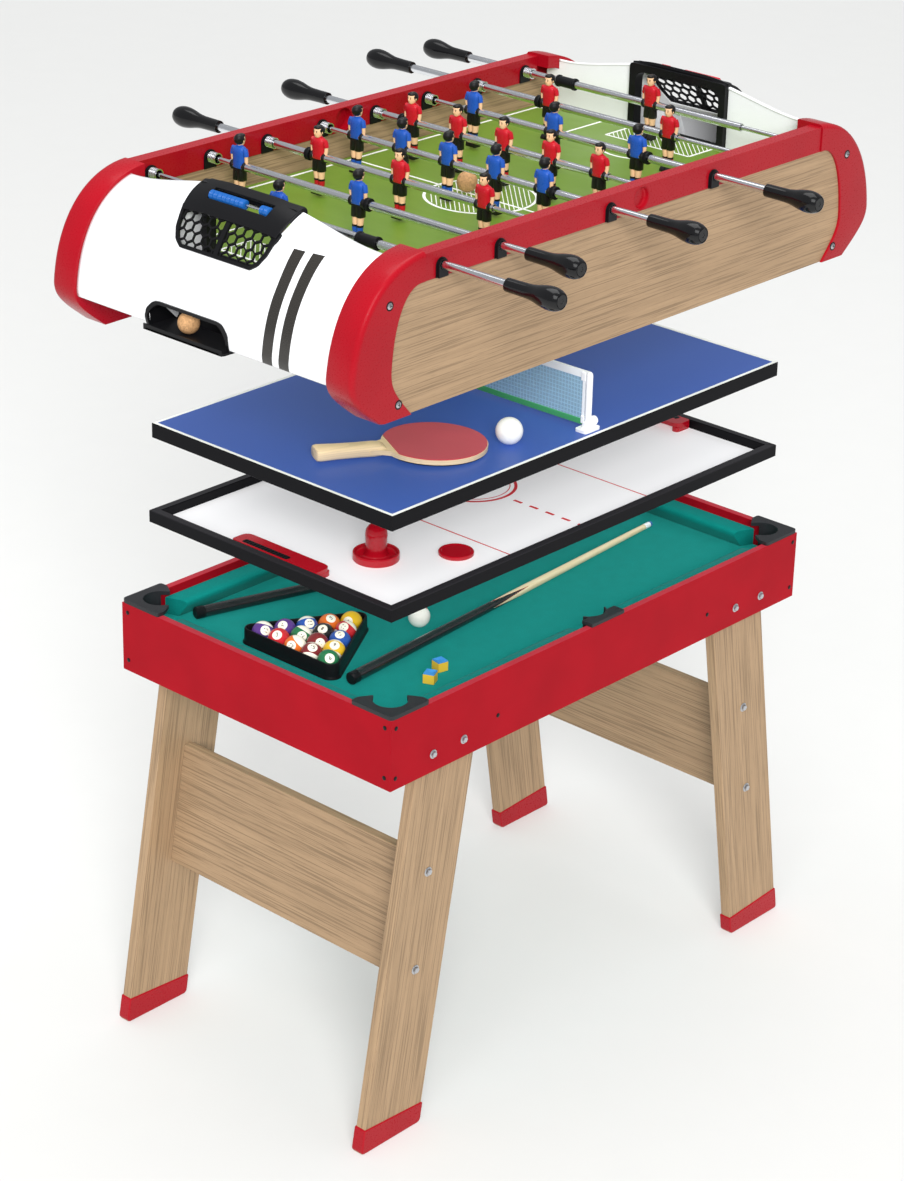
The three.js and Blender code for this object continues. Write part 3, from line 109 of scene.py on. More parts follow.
TENNIS_X, TENNIS_Y = 431, 240
TENNIS_UNDER, TENNIS_TOP = 967, 990
NET_Y, NET_TOP = 220, 1080.3
BAT_AT, BAT_TURN = (-370.0, -30.0), -28
TENNIS_BALL_AT, TENNIS_BALL_R = (-122.0, -176.0), 20

# Football module

CASE_BOTTOM, CASE_TOP, CAP_TOP = 1158, 1372, 1376
RAIL_BOTTOM, RAIL_INNER, RAIL_OUTER, RAIL_X = 1335, 268, 290, 429.7
SIDE_INNER, SIDE_OUTER = 270, 288
CAP_OUTER, CAP_INNER = 292, 245
PITCH_TOP = 1292
WALL_X, WALL_THICK = 456, 4
REACH_X, REACH_Z, HEEL_X = 566, 1224, 510
ROD_Z, ROD_R = 1352, 6
GOAL_HALF = 94
# The goal housing's half width at four heights, and the hole in the shell round it
HOUSING_Z, HOUSING_HALF, HOUSING_HOLE = (1321, 1340, 1362, 1388), (70, 84, 90, 94), 94.4
HOOD_FOOT, GOAL_NET_TOP, GOAL_NET_FOOT = 1366, 1369, 1320.5
# The shell's edge rises along the goal: how much, where it dies away, from which height
RISE, RISE_ENDS, RISE_FROM = 28, (40, 240), CAP_TOP - 68
CAP_ROUND = 8
WALL_HALF, WALL_FOOT = 269.7, 1281.7
BUSH_TOP = 1351
# Points along each half of an outline that is only read from
FINE = 240
SLOT_X, SLOT_HALF, SLOT_SIDE = 480, 57, 8.5
WIRE_Z = 1384.5
TRAY_MIDDLE, TRAY_HALF, TRAY_TOP, TRAY_FLOOR = 22, 79, 1244, 1205
ROD_PITCH = 114
STRIPES_AT, STRIPE_HALF, STRIPE_TOP = (132, 163), 9.5, 1356
CAP_SCREWS = [(-497, 1318), (-478, 1178)]
ENTRY_X, ENTRY_Z, ENTRY_R = 10, 1353.5, 17
BEAD_WIDTH, BEADS_END = 8.4, 56.7
WIRE_R, WIRE_HALF, BEAD_BORE = 1.6, 63, 1.9
PARKED, LOOSE = 8, 2
# The pitch's print: line and hatching widths, its ring, the depth and half width of
# the two goal boxes, and the radius of the arcs in the corners
LINE, BOLD, HATCH, CENTRE_RING = 4, 4.5, 1.3, 82
GOAL_BOXES, CORNER_ARC = ((116, 134), (62, 82)), 22
CORK_R, CORK_AT, CAUGHT_AT = 15.5, (2, 28), (-545, 34.6)
# Each team rod from the left end: players, handle's side, spacing, shift, gap to the handle
RODS = [
    (1, -1, 0, 9.99, 115.2), (2, -1, 234.9, 88.02, 50.98), (3, 1, 159.84, 0, 77.99),
    (5, -1, 90.99, 12.96, 71.02), (5, 1, 90.99, 7.99, 77.99), (3, -1, 159.84, 9.99, 96.02),
    (2, 1, 234.9, 0, 115.2), (1, 1, 0, 9.99, 97.0)]
SIDES = {"left": -1, "right": 1}
FRONTS = {"front": -1, "back": 1}


# Surfaces


def numbers(values):
    return np.asarray(values, dtype=float)


class Surface:
    """Points in millimetres, the faces between them, each face's material number, and
    marks: named values that stay with the points."""

    def __init__(self, points, faces, paint=0, marks=None):
        self.points = numbers(points).reshape(-1, 3)
        self.faces = faces
        self.paint = np.array(np.broadcast_to(paint, len(faces)), dtype=np.int32)
        self.marks = marks or {}

    def changed(self, points):
        return Surface(points, self.faces, self.paint, self.marks)

    def painted(self, number):
        return Surface(self.points, self.faces, number, self.marks)

    def moved(self, x=0.0, y=0.0, z=0.0):
        return self.changed(self.points + [x, y, z])

    def scaled(self, x=1.0, y=1.0, z=1.0):
        return self.changed(self.points * [x, y, z])

    def turned(self, axis, degrees):
        turn = np.array(Matrix.Rotation(math.radians(degrees), 3, axis))
        return self.changed(self.points @ turn.T)

    def __add__(self, other):
        return joined([self, other])


def joined(surfaces):
    """One surface of several, with the faces' point numbers moved on."""
    surfaces = list(surfaces)
    starts = np.cumsum([0] + [len(part.points) for part in surfaces])
    faces = [
        [i + int(start) for i in face] for part, start in zip(surfaces, starts)
        for face in part.faces]
    widths = {}
    for part in surfaces:
        widths.update({name: values.shape[1] for name, values in part.marks.items()})
    marks = {
        name: np.vstack(
            [part.marks.get(name, np.zeros((len(part.points), width))) for part in surfaces])
        for name, width in widths.items()}
    points = np.vstack([part.points for part in surfaces])
    paint = np.concatenate([part.paint for part in surfaces])
    return Surface(points, faces, paint, marks)


def ring_skin(rings, closed=False, caps=True):
    """Four-sided faces between rings of points that follow one another, each ring closed
    on itself. The first and last ring are filled, unless the rings close on themselves."""
    rings = numbers(rings)
    rows, columns = rings.shape[:2]
    index = np.arange(rows * columns).reshape(rows, columns)
    if closed:
        index = np.vstack([index, index[:1]])
    after = np.roll(index, -1, axis=1)
    faces = np.stack([index[:-1], after[:-1], after[1:], index[1:]], axis=-1)
    faces = faces.reshape(-1, 4).tolist()
    if caps and not closed:
        faces += [index[0][::-1].tolist(), index[-1].tolist()]
    return Surface(rings, faces)


def open_skin(grid, keep=None):
    """Four-sided faces between neighbouring points of a grid; keep says which cells."""
    grid = numbers(grid)
    rows, columns = grid.shape[:2]
    index = np.arange(rows * columns).reshape(rows, columns)
    corners = [index[:-1, :-1], index[:-1, 1:], index[1:, 1:], index[1:, :-1]]
    faces = np.stack(corners, axis=-1)
    faces = faces.reshape(-1, 4) if keep is None else faces[keep]
    return Surface(grid, faces.tolist())


def lathe(profile, sides=40, closed=False):
    """A profile of radius and height carried round Z: (r cos a, r sin a, height)."""
    radius, height = numbers(profile).T
    angle = np.linspace(0, 2 * np.pi, sides, endpoint=False)
    flat = np.broadcast_to(height[:, None], (len(height), sides))
    rings = [np.outer(radius, np.cos(angle)), np.outer(radius, np.sin(angle)), flat]
    return ring_skin(np.stack(rings, axis=-1), closed=closed)


AXES = {"Z": [0, 1, 2], "Y": [0, 2, 1], "X": [2, 0, 1]}


def slab(outline, low, high, axis="Z", holes=()):
    """An outline carried straight from low to high along an axis, with outlines of holes
    cut through it. Outlines are X and Y, X and Z, or Y and Z for Z, Y and X."""
    loops = [numbers(loop) for loop in (outline, *holes)]
    flat = np.vstack(loops)
    count = len(flat)
    faces, start = [], 0
    for loop in loops:
        here = np.arange(len(loop)) + start
        after = np.roll(here, -1)
        walls = np.stack([here, after, after + count, here + count], axis=-1)
        faces += walls.tolist()
        start += len(loop)
    if holes:
        polygons = [[Vector((a, b, 0)) for a, b in loop] for loop in loops]
        fill = np.array(tessellate_polygon(polygons))
        faces += fill[:, ::-1].tolist() + (fill + count).tolist()
    else:
        ring = np.arange(count)
        faces += [ring[::-1].tolist(), (ring + count).tolist()]
    lower = np.column_stack([flat, np.full(count, low)])
    upper = np.column_stack([flat, np.full(count, high)])
    return Surface(np.vstack([lower, upper])[:, AXES[axis]], faces)


def block(x, y, z):
    corners = [(x[0], y[0]), (x[1], y[0]), (x[1], y[1]), (x[0], y[1])]
    return slab(corners, z[0], z[1])


def plate(x, y, z, corner):
    """A block whose four upright edges are rounded."""
    corners = [(x[0], y[0]), (x[1], y[0]), (x[1], y[1]), (x[0], y[1])]
    return slab(rounded(corners, corner), z[0], z[1])


def frame_skin(half_x, half_y, profile, closed=False):
    """Rectangles that follow a profile of inset and height, one ring for each point."""
    inset, height = numbers(profile).T
    signs = np.array([(-1, -1), (1, -1), (1, 1), (-1, 1)])
    x = (half_x - inset)[:, None] * signs[:, 0]
    y = (half_y - inset)[:, None] * signs[:, 1]
    z = np.broadcast_to(height[:, None], x.shape)
    return ring_skin(np.stack([x, y, z], axis=-1), closed=closed)


def arc(middle, radius, start, stop, steps=12):
    """Points round a middle from one angle to another, in degrees."""
    angle = np.radians(np.linspace(start, stop, steps))
    return np.asarray(middle) + radius * np.stack([np.cos(angle), np.sin(angle)], -1)


def circle(middle, radius, steps=24):
    return arc(middle, radius, 0, 360, steps + 1)[:-1]


def rounded(corners, radius, steps=5):
    """Each corner gives way to a parabola that leaves one side and meets the next, a
    radius away from the corner on both."""
    point = numbers(corners)
    radius = np.broadcast_to(radius, len(point))[:, None]
    before, after = np.roll(point, 1, axis=0) - point, np.roll(point, -1, axis=0) - point

    def towards(side):
        length = np.linalg.norm(side, axis=1, keepdims=True)
        return side / length * np.minimum(radius, 0.49 * length)

    share = np.linspace(0, 1, steps + 1)[None, :, None]
    leave, meet = (point + towards(before))[:, None], (point + towards(after))[:, None]
    middle = point[:, None]
    curve = leave * (1 - share) ** 2 + 2 * middle * share * (1 - share) + meet * share**2
    return curve.reshape(-1, 2)


def sphere(radius, sides=40, bands=20):
    """Latitude rings: radius r sin a at height -r cos a, for a from 0 to 180 degrees."""
    angle = np.linspace(0, np.pi, bands + 1)
    profile = np.stack([radius * np.sin(angle), -radius * np.cos(angle)], -1)
    return lathe(profile, sides)


def tube(path, radius, sides=14):
    """Circles set square to a path at each of its points, with a radius for each."""
    path = numbers(path)
    radius = np.broadcast_to(radius, len(path))
    ahead = np.gradient(path, axis=0)
    ahead /= np.linalg.norm(ahead, axis=1, keepdims=True)
    guide = np.array([1.0, 0.02, 0.03])
    across = np.cross(ahead, guide)
    across /= np.linalg.norm(across, axis=1, keepdims=True)
    up = np.cross(ahead, across)
    angle = np.linspace(0, 2 * np.pi, sides, endpoint=False)
    spread = (across[:, None] * np.cos(angle)[:, None] + up[:, None] * np.sin(angle)[:, None])
    return ring_skin(path[:, None] + spread * radius[:, None, None])


def ovals(levels, sides=20):
    """Rings at rising heights, each level [height, x, y, half depth, half width,
    squareness n]: the ring is (a |cos|^(2/n), b |sin|^(2/n)) with the signs kept."""
    height, x, y, depth, width, square = numbers(levels).T
    angle = np.linspace(0, 2 * np.pi, sides, endpoint=False)
    cos, sin = np.cos(angle), np.sin(angle)
    power = (2 / square)[:, None]
    ring_x = x[:, None] + depth[:, None] * np.sign(cos) * np.abs(cos) ** power
    ring_y = y[:, None] + width[:, None] * np.sign(sin) * np.abs(sin) ** power
    ring_z = np.broadcast_to(height[:, None], ring_x.shape)
    return ring_skin(np.stack([ring_x, ring_y, ring_z], axis=-1))


def smoothstep(value, low, high):
    share = np.clip((numbers(value) - low) / (high - low), 0, 1)
    return share * share * (3 - 2 * share)


def piece(
    body, name, surface, finishes, replaces="", slot="", edge=0.0, steps=2, smooth=35, wall=0.0,
    closed=True):
    """Makes one object of a surface, with the finishes named. Doubles are merged and
    closed shells turned outwards; a wall gives an open skin its thickness inwards, and an
    edge rounds every corner sharper than 40 degrees."""
    mesh = bpy.data.meshes.new(name)
    mesh.from_pydata((surface.points * MM).tolist(), [], surface.faces)
    finishes = finishes.split()
    for finish in finishes:
        mesh.materials.append(FINISHES[finish])
    mesh.polygons.foreach_set("material_index", surface.paint)
    for mark, values in surface.marks.items():
        kind = {3: "FLOAT_VECTOR", 4: "FLOAT_COLOR"}[values.shape[1]]
        field = {3: "vector", 4: "color"}[values.shape[1]]
        layer = mesh.attributes.new(mark, kind, "POINT")
        layer.data.foreach_set(field, values.astype(np.float32).ravel())
    work = bmesh.new()
    work.from_mesh(mesh)
    bmesh.ops.remove_doubles(work, verts=work.verts, dist=1e-6)
    if closed:
        bmesh.ops.recalc_face_normals(work, faces=work.faces)
    work.to_mesh(mesh)
    work.free()
    mesh.shade_smooth()
    mesh.set_sharp_from_angle(angle=math.radians(smooth))
    made = bpy.data.objects.new(name, mesh)
    bpy.context.scene.collection.objects.link(made)
    if wall:
        thick = made.modifiers.new("wall", "SOLIDIFY")
        thick.thickness = wall * MM
        thick.offset = -1
    if edge:
        rounding = made.modifiers.new("rounded_edges", "BEVEL")
        rounding.width = edge * MM
        rounding.segments = steps
        rounding.limit_method = "ANGLE"
        rounding.angle_limit = math.radians(40)
        rounding.harden_normals = True
    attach(made, body)
    slot or SLOT_OF[finishes[0]]
    if replaces:
        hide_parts(replaces)
    return made


# Materials

FINISHES = {}
# The slot that each finish belongs to. A piece looks up the slot of its first finish,
# unless one is given, but doesn't keep it
SLOTS = {
    "ball_white": "cast_resin_white celluloid_white", "balls_in_rack": "numbered_resin",
    "black_plastic": "textured_abs_grey moulded_abs_black black_edge_foil polished_abs_black",
    "blue_bead": "bead_blue", "blue_board": "paper_label_yellow blue_melamine",
    "green_cloth": "billiard_cloth", "green_pitch": "printed_turf",
    "net_white": "knitted_net woven_tape_white",
    "oak_foil": "wood_foil_along wood_foil_across wood_foil_leg_left wood_foil_leg_right",
    "pale_wood": "cue_lacquer_points cue_lacquer_black layered_ply pressed_cork",
    "red_bead": "bead_red", "red_lacquer": "lacquered_board_red",
    "red_plastic": "moulded_abs_red polished_abs_red printed_red",
    "rods_and_players": "zinc_plated_steel chromed_steel team_red team_blue",
    "white_board": "white_melamine printed_white",
    "white_plastic": "striped_abs_white moulded_abs_white"}
SLOT_OF = {name: slot for slot, names in SLOTS.items() for name in names.split()}
# A noise's scale is this over the size of its lumps in millimetres
LUMPS = 1000
# Each kind of node: its inputs in the order they are filled, the output that is taken
# (all of them for None) and the settings it always has
KINDS = {
    "Attribute": ((), None, {}), "Bump": (("Height", "Distance", "Strength"), 0, {}),
    "MapRange": (("Value", "From Min", "From Max", "To Min", "To Max"), 0, {}),
    "Mapping": (("Vector", "Scale", "Rotation"), 0, {"vector_type": "TEXTURE"}),
    "Math": ((0, 1), 0, {}), "Mix": ((0, 6, 7), 2, {"data_type": "RGBA"}),
    "OutputMaterial": (("Surface",), None, {}), "SeparateXYZ": (("Vector",), None, {}),
    "TexCoord": ((), "Object", {}),
    "TexNoise": (("Vector", "Scale", "Detail", "Distortion"), 0, {}),
    "TexVoronoi": (("Vector", "Scale", "Randomness"), None, {})}


def linear(colour):
    """An sRGB hex value as the linear colour that shaders take; other colours stay."""
    if not isinstance(colour, str):
        return colour
    parts = [int(colour[i : i + 2], 16) / 255 for i in (1, 3, 5)]
    return (*(c / 12.92 if c <= 0.04045 else ((c + 0.055) / 1.055) ** 2.4 for c in parts), 1.0)


def shade(colour, factor):
    """A colour made darker or lighter: factor 1 leaves it as it is."""
    return (*(min(1.0, c * factor) for c in linear(colour)[:3]), 1.0)


def set_inputs(node, values):
    """Links or sets a node's inputs, each by its name or number."""
    for name, value in values.items():
        if isinstance(value, bpy.types.NodeSocket):
            node.id_data.links.new(value, node.inputs[name])
        else:
            node.inputs[name].default_value = value


def add_node(tree, kind, *values, **settings):
    """Adds a node, fills its inputs in order and sets its properties. A kind in capitals
    is the operation of a Math node."""
    if kind.isupper():
        kind, settings = "Math", {"operation": kind}
    names, output, always = KINDS[kind]
    made = tree.nodes.new("ShaderNode" + kind)
    for name, value in {**always, **settings}.items():
        setattr(made, name, value)
    set_inputs(made, dict(zip(names, values)))
    return made.outputs if output is None else made.outputs[output]


def new_finish(name):
    """An empty material, kept under its name. Gives what adds a node to it, what sets
    its shader (underscores stand for spaces) and its object coordinates."""
    made = bpy.data.materials.new(name)
    made.use_nodes = True
    made.node_tree.nodes.clear()
    FINISHES[name] = made
    shader = made.node_tree.nodes.new("ShaderNodeBsdfPrincipled")
    add = partial(add_node, made.node_tree)
    add("OutputMaterial", shader.outputs[0])

    def paint(**values):
        set_inputs(shader, {key.replace("_", " "): value for key, value in values.items()})

    return add, paint, add("TexCoord")


def moulded(name, colour, roughness, grain=0.8, relief=0.02, mottle=0.07, spread=0.05, **more):
    """Moulded or painted skin: slow colour drift over a few centimetres, and a fine
    texture of the given grain that breaks the gloss."""
    add, paint, where = new_finish(name)
    drift = add("MapRange", add("TexNoise", where, LUMPS / 90, 2), 0.3, 0.7, 0, 1)
    fine = add("TexNoise", where, LUMPS / grain, 2)
    paint(
        Base_Color=add("Mix", drift, shade(colour, 1 - mottle), shade(colour, 1 + mottle)),
        Roughness=add("MapRange", fine, 0.3, 0.7, roughness - spread, roughness + spread),
        Normal=add("Bump", fine, relief * MM), **more)


def wood_foil(name, colour, turn=(0, 0, 0)):
    """Printed wood-grain foil on board. The grain runs along the mapping's X: faint
    bands of growth 9 mm wide, thin darker lines 2 mm wide and pores under a millimetre
    over them, and a satin lacquer that shines a little more on the light wood."""
    add, paint, where = new_finish(name)
    bands, streaks, pores = (
        add("TexNoise", add("Mapping", where, (stretch, 1, 1), turn), LUMPS / size, detail, twist)
        for size, stretch, detail, twist in ((9, 40, 5, 0.4), (2.2, 70, 4, 0.1), (0.9, 26, 2, 0)))
    band = add("MapRange", bands, 0.36, 0.64, 0, 1)
    tone = add("Mix", band, shade(colour, 0.92), shade(colour, 1.06))
    tone = add("Mix", add("MapRange", streaks, 0.5, 0.6, 0, 0.8), tone, shade(colour, 0.6))
    pore = add("MapRange", pores, 0.58, 0.72, 0, 0.4)
    paint(
        Base_Color=add("Mix", pore, tone, shade(colour, 0.5)),
        Roughness=add("MapRange", bands, 0.3, 0.7, 0.5, 0.44), Specular_IOR_Level=0.2,
        Normal=add("Bump", add("SUBTRACT", 1.0, pore), 0.05 * MM))


def felt(name, colour):
    """Napped billiard cloth: short fibres in clumps of a millimetre, which show as a
    soft mottle, and a faint sheen at grazing angles."""
    add, paint, where = new_finish(name)
    nap = add("TexNoise", where, LUMPS / 1.6, 4, 0.4)
    clumps = add("TexNoise", where, LUMPS / 22, 3)
    tone = add("Mix", clumps, shade(colour, 0.9), shade(colour, 1.1))
    fibre = add("MapRange", nap, 0.35, 0.7, 0, 0.5)
    paint(
        Base_Color=add("Mix", fibre, tone, shade(colour, 0.72)), Roughness=0.95,
        Specular_IOR_Level=0.1, Sheen_Weight=0.04, Sheen_Roughness=0.5,
        Normal=add("Bump", nap, 0.25 * MM, 0.6))


def polished_steel(name, colour, roughness):
    """Drawn steel, plated: fine drawing lines along Y, two millimetres apart here so
    that they show, and a mirror gloss."""
    add, paint, where = new_finish(name)
    lines = add("TexNoise", add("Mapping", where, (1, 24, 1)), LUMPS / 2, 2)
    paint(
        Base_Color=add("Mix", lines, shade(colour, 0.95), shade(colour, 1.03)), Metallic=1.0,
        Roughness=add("MapRange", lines, 0.3, 0.7, roughness * 0.9, roughness * 1.2),
        Normal=add("Bump", lines, 0.004 * MM, 0.2))


def striped_shell(name, colour, stripe):
    """Glossy white ABS with two dark stripes printed down it: a point is on one where
    its distance across is within half a stripe of the stripe's middle."""
    add, paint, where = new_finish(name)
    drift = add("TexNoise", where, LUMPS / 90, 2)
    fine = add("TexNoise", where, LUMPS / 0.9, 2)
    x, y, z = add("SeparateXYZ", where)
    across = add("MULTIPLY", y, add("SIGN", x))
    bands = [
        add("LESS_THAN", add("ABSOLUTE", add("SUBTRACT", across, at * MM)), STRIPE_HALF * MM)
        for at in STRIPES_AT]
    below = add("LESS_THAN", z, STRIPE_TOP * MM)
    outside = add("GREATER_THAN", add("ABSOLUTE", x), (WALL_X + WALL_THICK + 3) * MM)
    shown = add("MULTIPLY", add("MULTIPLY", add("ADD", *bands), below), outside)
    paint(
        Base_Color=add(
            "Mix", shown, add("Mix", drift, shade(colour, 0.97), linear(colour)), linear(stripe)),
        Roughness=add("MapRange", fine, 0.3, 0.7, 0.2, 0.3), Coat_Weight=0.3, Coat_Roughness=0.12,
        Normal=add("Bump", fine, 0.01 * MM))


def numbered_resin(name):
    """Cast phenolic resin, ground and polished. The marks on the ball give its colour,
    whether it is striped (the colour's fourth part) and the direction of each point
    from its middle, so a stripe is the belt nearer than 0.52 to the middle plane and the
    round spot is where the first part passes 0.9."""
    add, paint, where = new_finish(name)
    tint = add("Attribute", attribute_name="tint")
    facing = add("Attribute", attribute_name="facing")
    x, _, z = add("SeparateXYZ", facing["Vector"])
    white_part = add("MULTIPLY", add("GREATER_THAN", add("ABSOLUTE", z), 0.52), tint["Alpha"])
    spot = add("GREATER_THAN", add("ABSOLUTE", x), 0.9)
    cream = linear("#F3EDDC")
    mottle = add("TexNoise", where, LUMPS / 6, 2)
    tone = add("Mix", add("MAXIMUM", white_part, spot), tint["Color"], cream)
    paint(
        Base_Color=add("Mix", add("MULTIPLY", mottle, 0.02), tone, cream),
        Roughness=add("MapRange", mottle, 0.3, 0.7, 0.06, 0.12), Specular_IOR_Level=0.4,
        Coat_Weight=0.15, Coat_Roughness=0.05)


def cue_wood(name, butt_end, point):
    """A turned cue: black lacquer on the butt that ends in four long points over pale
    maple. The mark along gives the distance from the butt and the angle in turns."""
    add, paint, where = new_finish(name)
    mark = add("Attribute", attribute_name="along")
    distance, turn, _ = add("SeparateXYZ", mark["Vector"])
    teeth = add("PINGPONG", add("MULTIPLY", turn, 8.0), 1.0)
    edge = add("ADD", add("MULTIPLY", teeth, point), butt_end)
    near = add("ABSOLUTE", add("SUBTRACT", distance, add("ADD", edge, 0.006)))
    grain = add("TexNoise", add("Mapping", where, (30, 1, 1)), LUMPS / 4, 3, 0.3)
    maple = add("Mix", grain, linear("#D9BE8C"), linear("#F1E4C2"))
    maple = add("Mix", add("LESS_THAN", near, 0.004), maple, linear("#A9212B"))
    lacquer = add("Mix", grain, linear("#121113"), linear("#1E1C1E"))
    paint(
        Base_Color=add("Mix", add("LESS_THAN", distance, edge), maple, lacquer),
        Roughness=add("MapRange", grain, 0.3, 0.7, 0.16, 0.26), Coat_Weight=0.6,
        Coat_Roughness=0.08, Normal=add("Bump", grain, 0.02 * MM, 0.4))


def net_mesh(name, colour):
    """Fine warp-knitted polyester: threads 0.8 mm wide every 3 mm both ways, drawn as
    opaque lines over gaps that let most light through, so it reads as a pale veil."""
    add, paint, where = new_finish(name)
    _, y, z = add("SeparateXYZ", where)
    threads = [add("LESS_THAN", add("PINGPONG", way, 3 * MM), 0.8 * MM) for way in (y, z)]
    thread = add("MAXIMUM", *threads)
    fuzz = add("TexNoise", where, LUMPS / 1.2, 2)
    paint(
        Base_Color=add("Mix", fuzz, shade(colour, 0.85), shade(colour, 1.1)),
        Alpha=add("MapRange", thread, 0, 1, 0.6, 0.9), Roughness=0.8, Sheen_Weight=0.2,
        Normal=add("Bump", thread, 0.2 * MM))


def cork(name, colour):
    """Pressed cork granules of two to four millimetres: brown specks and pits."""
    add, paint, where = new_finish(name)
    cells = add("TexVoronoi", where, LUMPS / 3.4, 1.0)
    specks = add("TexNoise", where, LUMPS / 1.8, 4)
    tone = add("Mix", cells["Color"], shade(colour, 0.72), shade(colour, 1.2))
    pits = add("MapRange", specks, 0.55, 0.7, 0, 0.7)
    paint(
        Base_Color=add("Mix", pits, tone, shade(colour, 0.45)), Roughness=0.85,
        Normal=add("Bump", cells["Distance"], 0.5 * MM, 0.6))


def layered_ply(name, colour):
    """Glued veneers about a millimetre and a half thick: light and dark lines on the
    edge, long grain on the faces."""
    add, paint, where = new_finish(name)
    _, _, z = add("SeparateXYZ", where)
    dark = add("LESS_THAN", add("PINGPONG", z, 1.5 * MM), 0.4 * MM)
    along = add("Mapping", where, (26, 1, 1), (0, 0, math.radians(BAT_TURN)))
    grain = add("TexNoise", along, LUMPS / 5, 3, 0.3)
    face = add("Mix", grain, shade(colour, 0.84), shade(colour, 1.06))
    paint(
        Base_Color=add("Mix", add("MULTIPLY", dark, 0.3), face, shade(colour, 0.6)),
        Roughness=add("MapRange", grain, 0.3, 0.7, 0.42, 0.56),
        Normal=add("Bump", grain, 0.05 * MM, 0.5))


def printed_turf(name, colour):
    """Green printed board under a clear satin film: mown bands 57 mm wide across the
    pitch, a fine leaf texture and slight waves in the film."""
    add, paint, where = new_finish(name)
    x, _, _ = add("SeparateXYZ", where)
    mown = add("GREATER_THAN", add("PINGPONG", add("ADD", x, 10.0), 57 * MM), 28.5 * MM)
    leaves = add("TexNoise", where, LUMPS / 2.6, 4, 0.5)
    clouds = add("TexNoise", where, LUMPS / 70, 3)
    tone = add("Mix", leaves, shade(colour, 0.82), shade(colour, 1.14))
    tone = add("Mix", add("MULTIPLY", mown, 0.16), tone, shade(colour, 0.6))
    paint(
        Base_Color=add("Mix", add("MULTIPLY", clouds, 0.3), tone, shade(colour, 1.2)),
        Roughness=add("MapRange", clouds, 0.3, 0.7, 0.34, 0.46),
        Normal=add("Bump", clouds, 0.05 * MM, 0.4))


def coloured_board(name, colour, roughness):
    """Board with an even melamine film: a fine pearl texture breaks its satin gloss."""
    add, paint, where = new_finish(name)
    pearl = add("TexNoise", where, LUMPS / 1.4, 2)
    clouds = add("TexNoise", where, LUMPS / 120, 3)
    paint(
        Base_Color=add("Mix", clouds, shade(colour, 0.985), shade(colour, 1.01)),
        Roughness=add("MapRange", pearl, 0.3, 0.7, roughness - 0.02, roughness + 0.03),
        Specular_IOR_Level=0.3, Normal=add("Bump", pearl, 0.015 * MM))


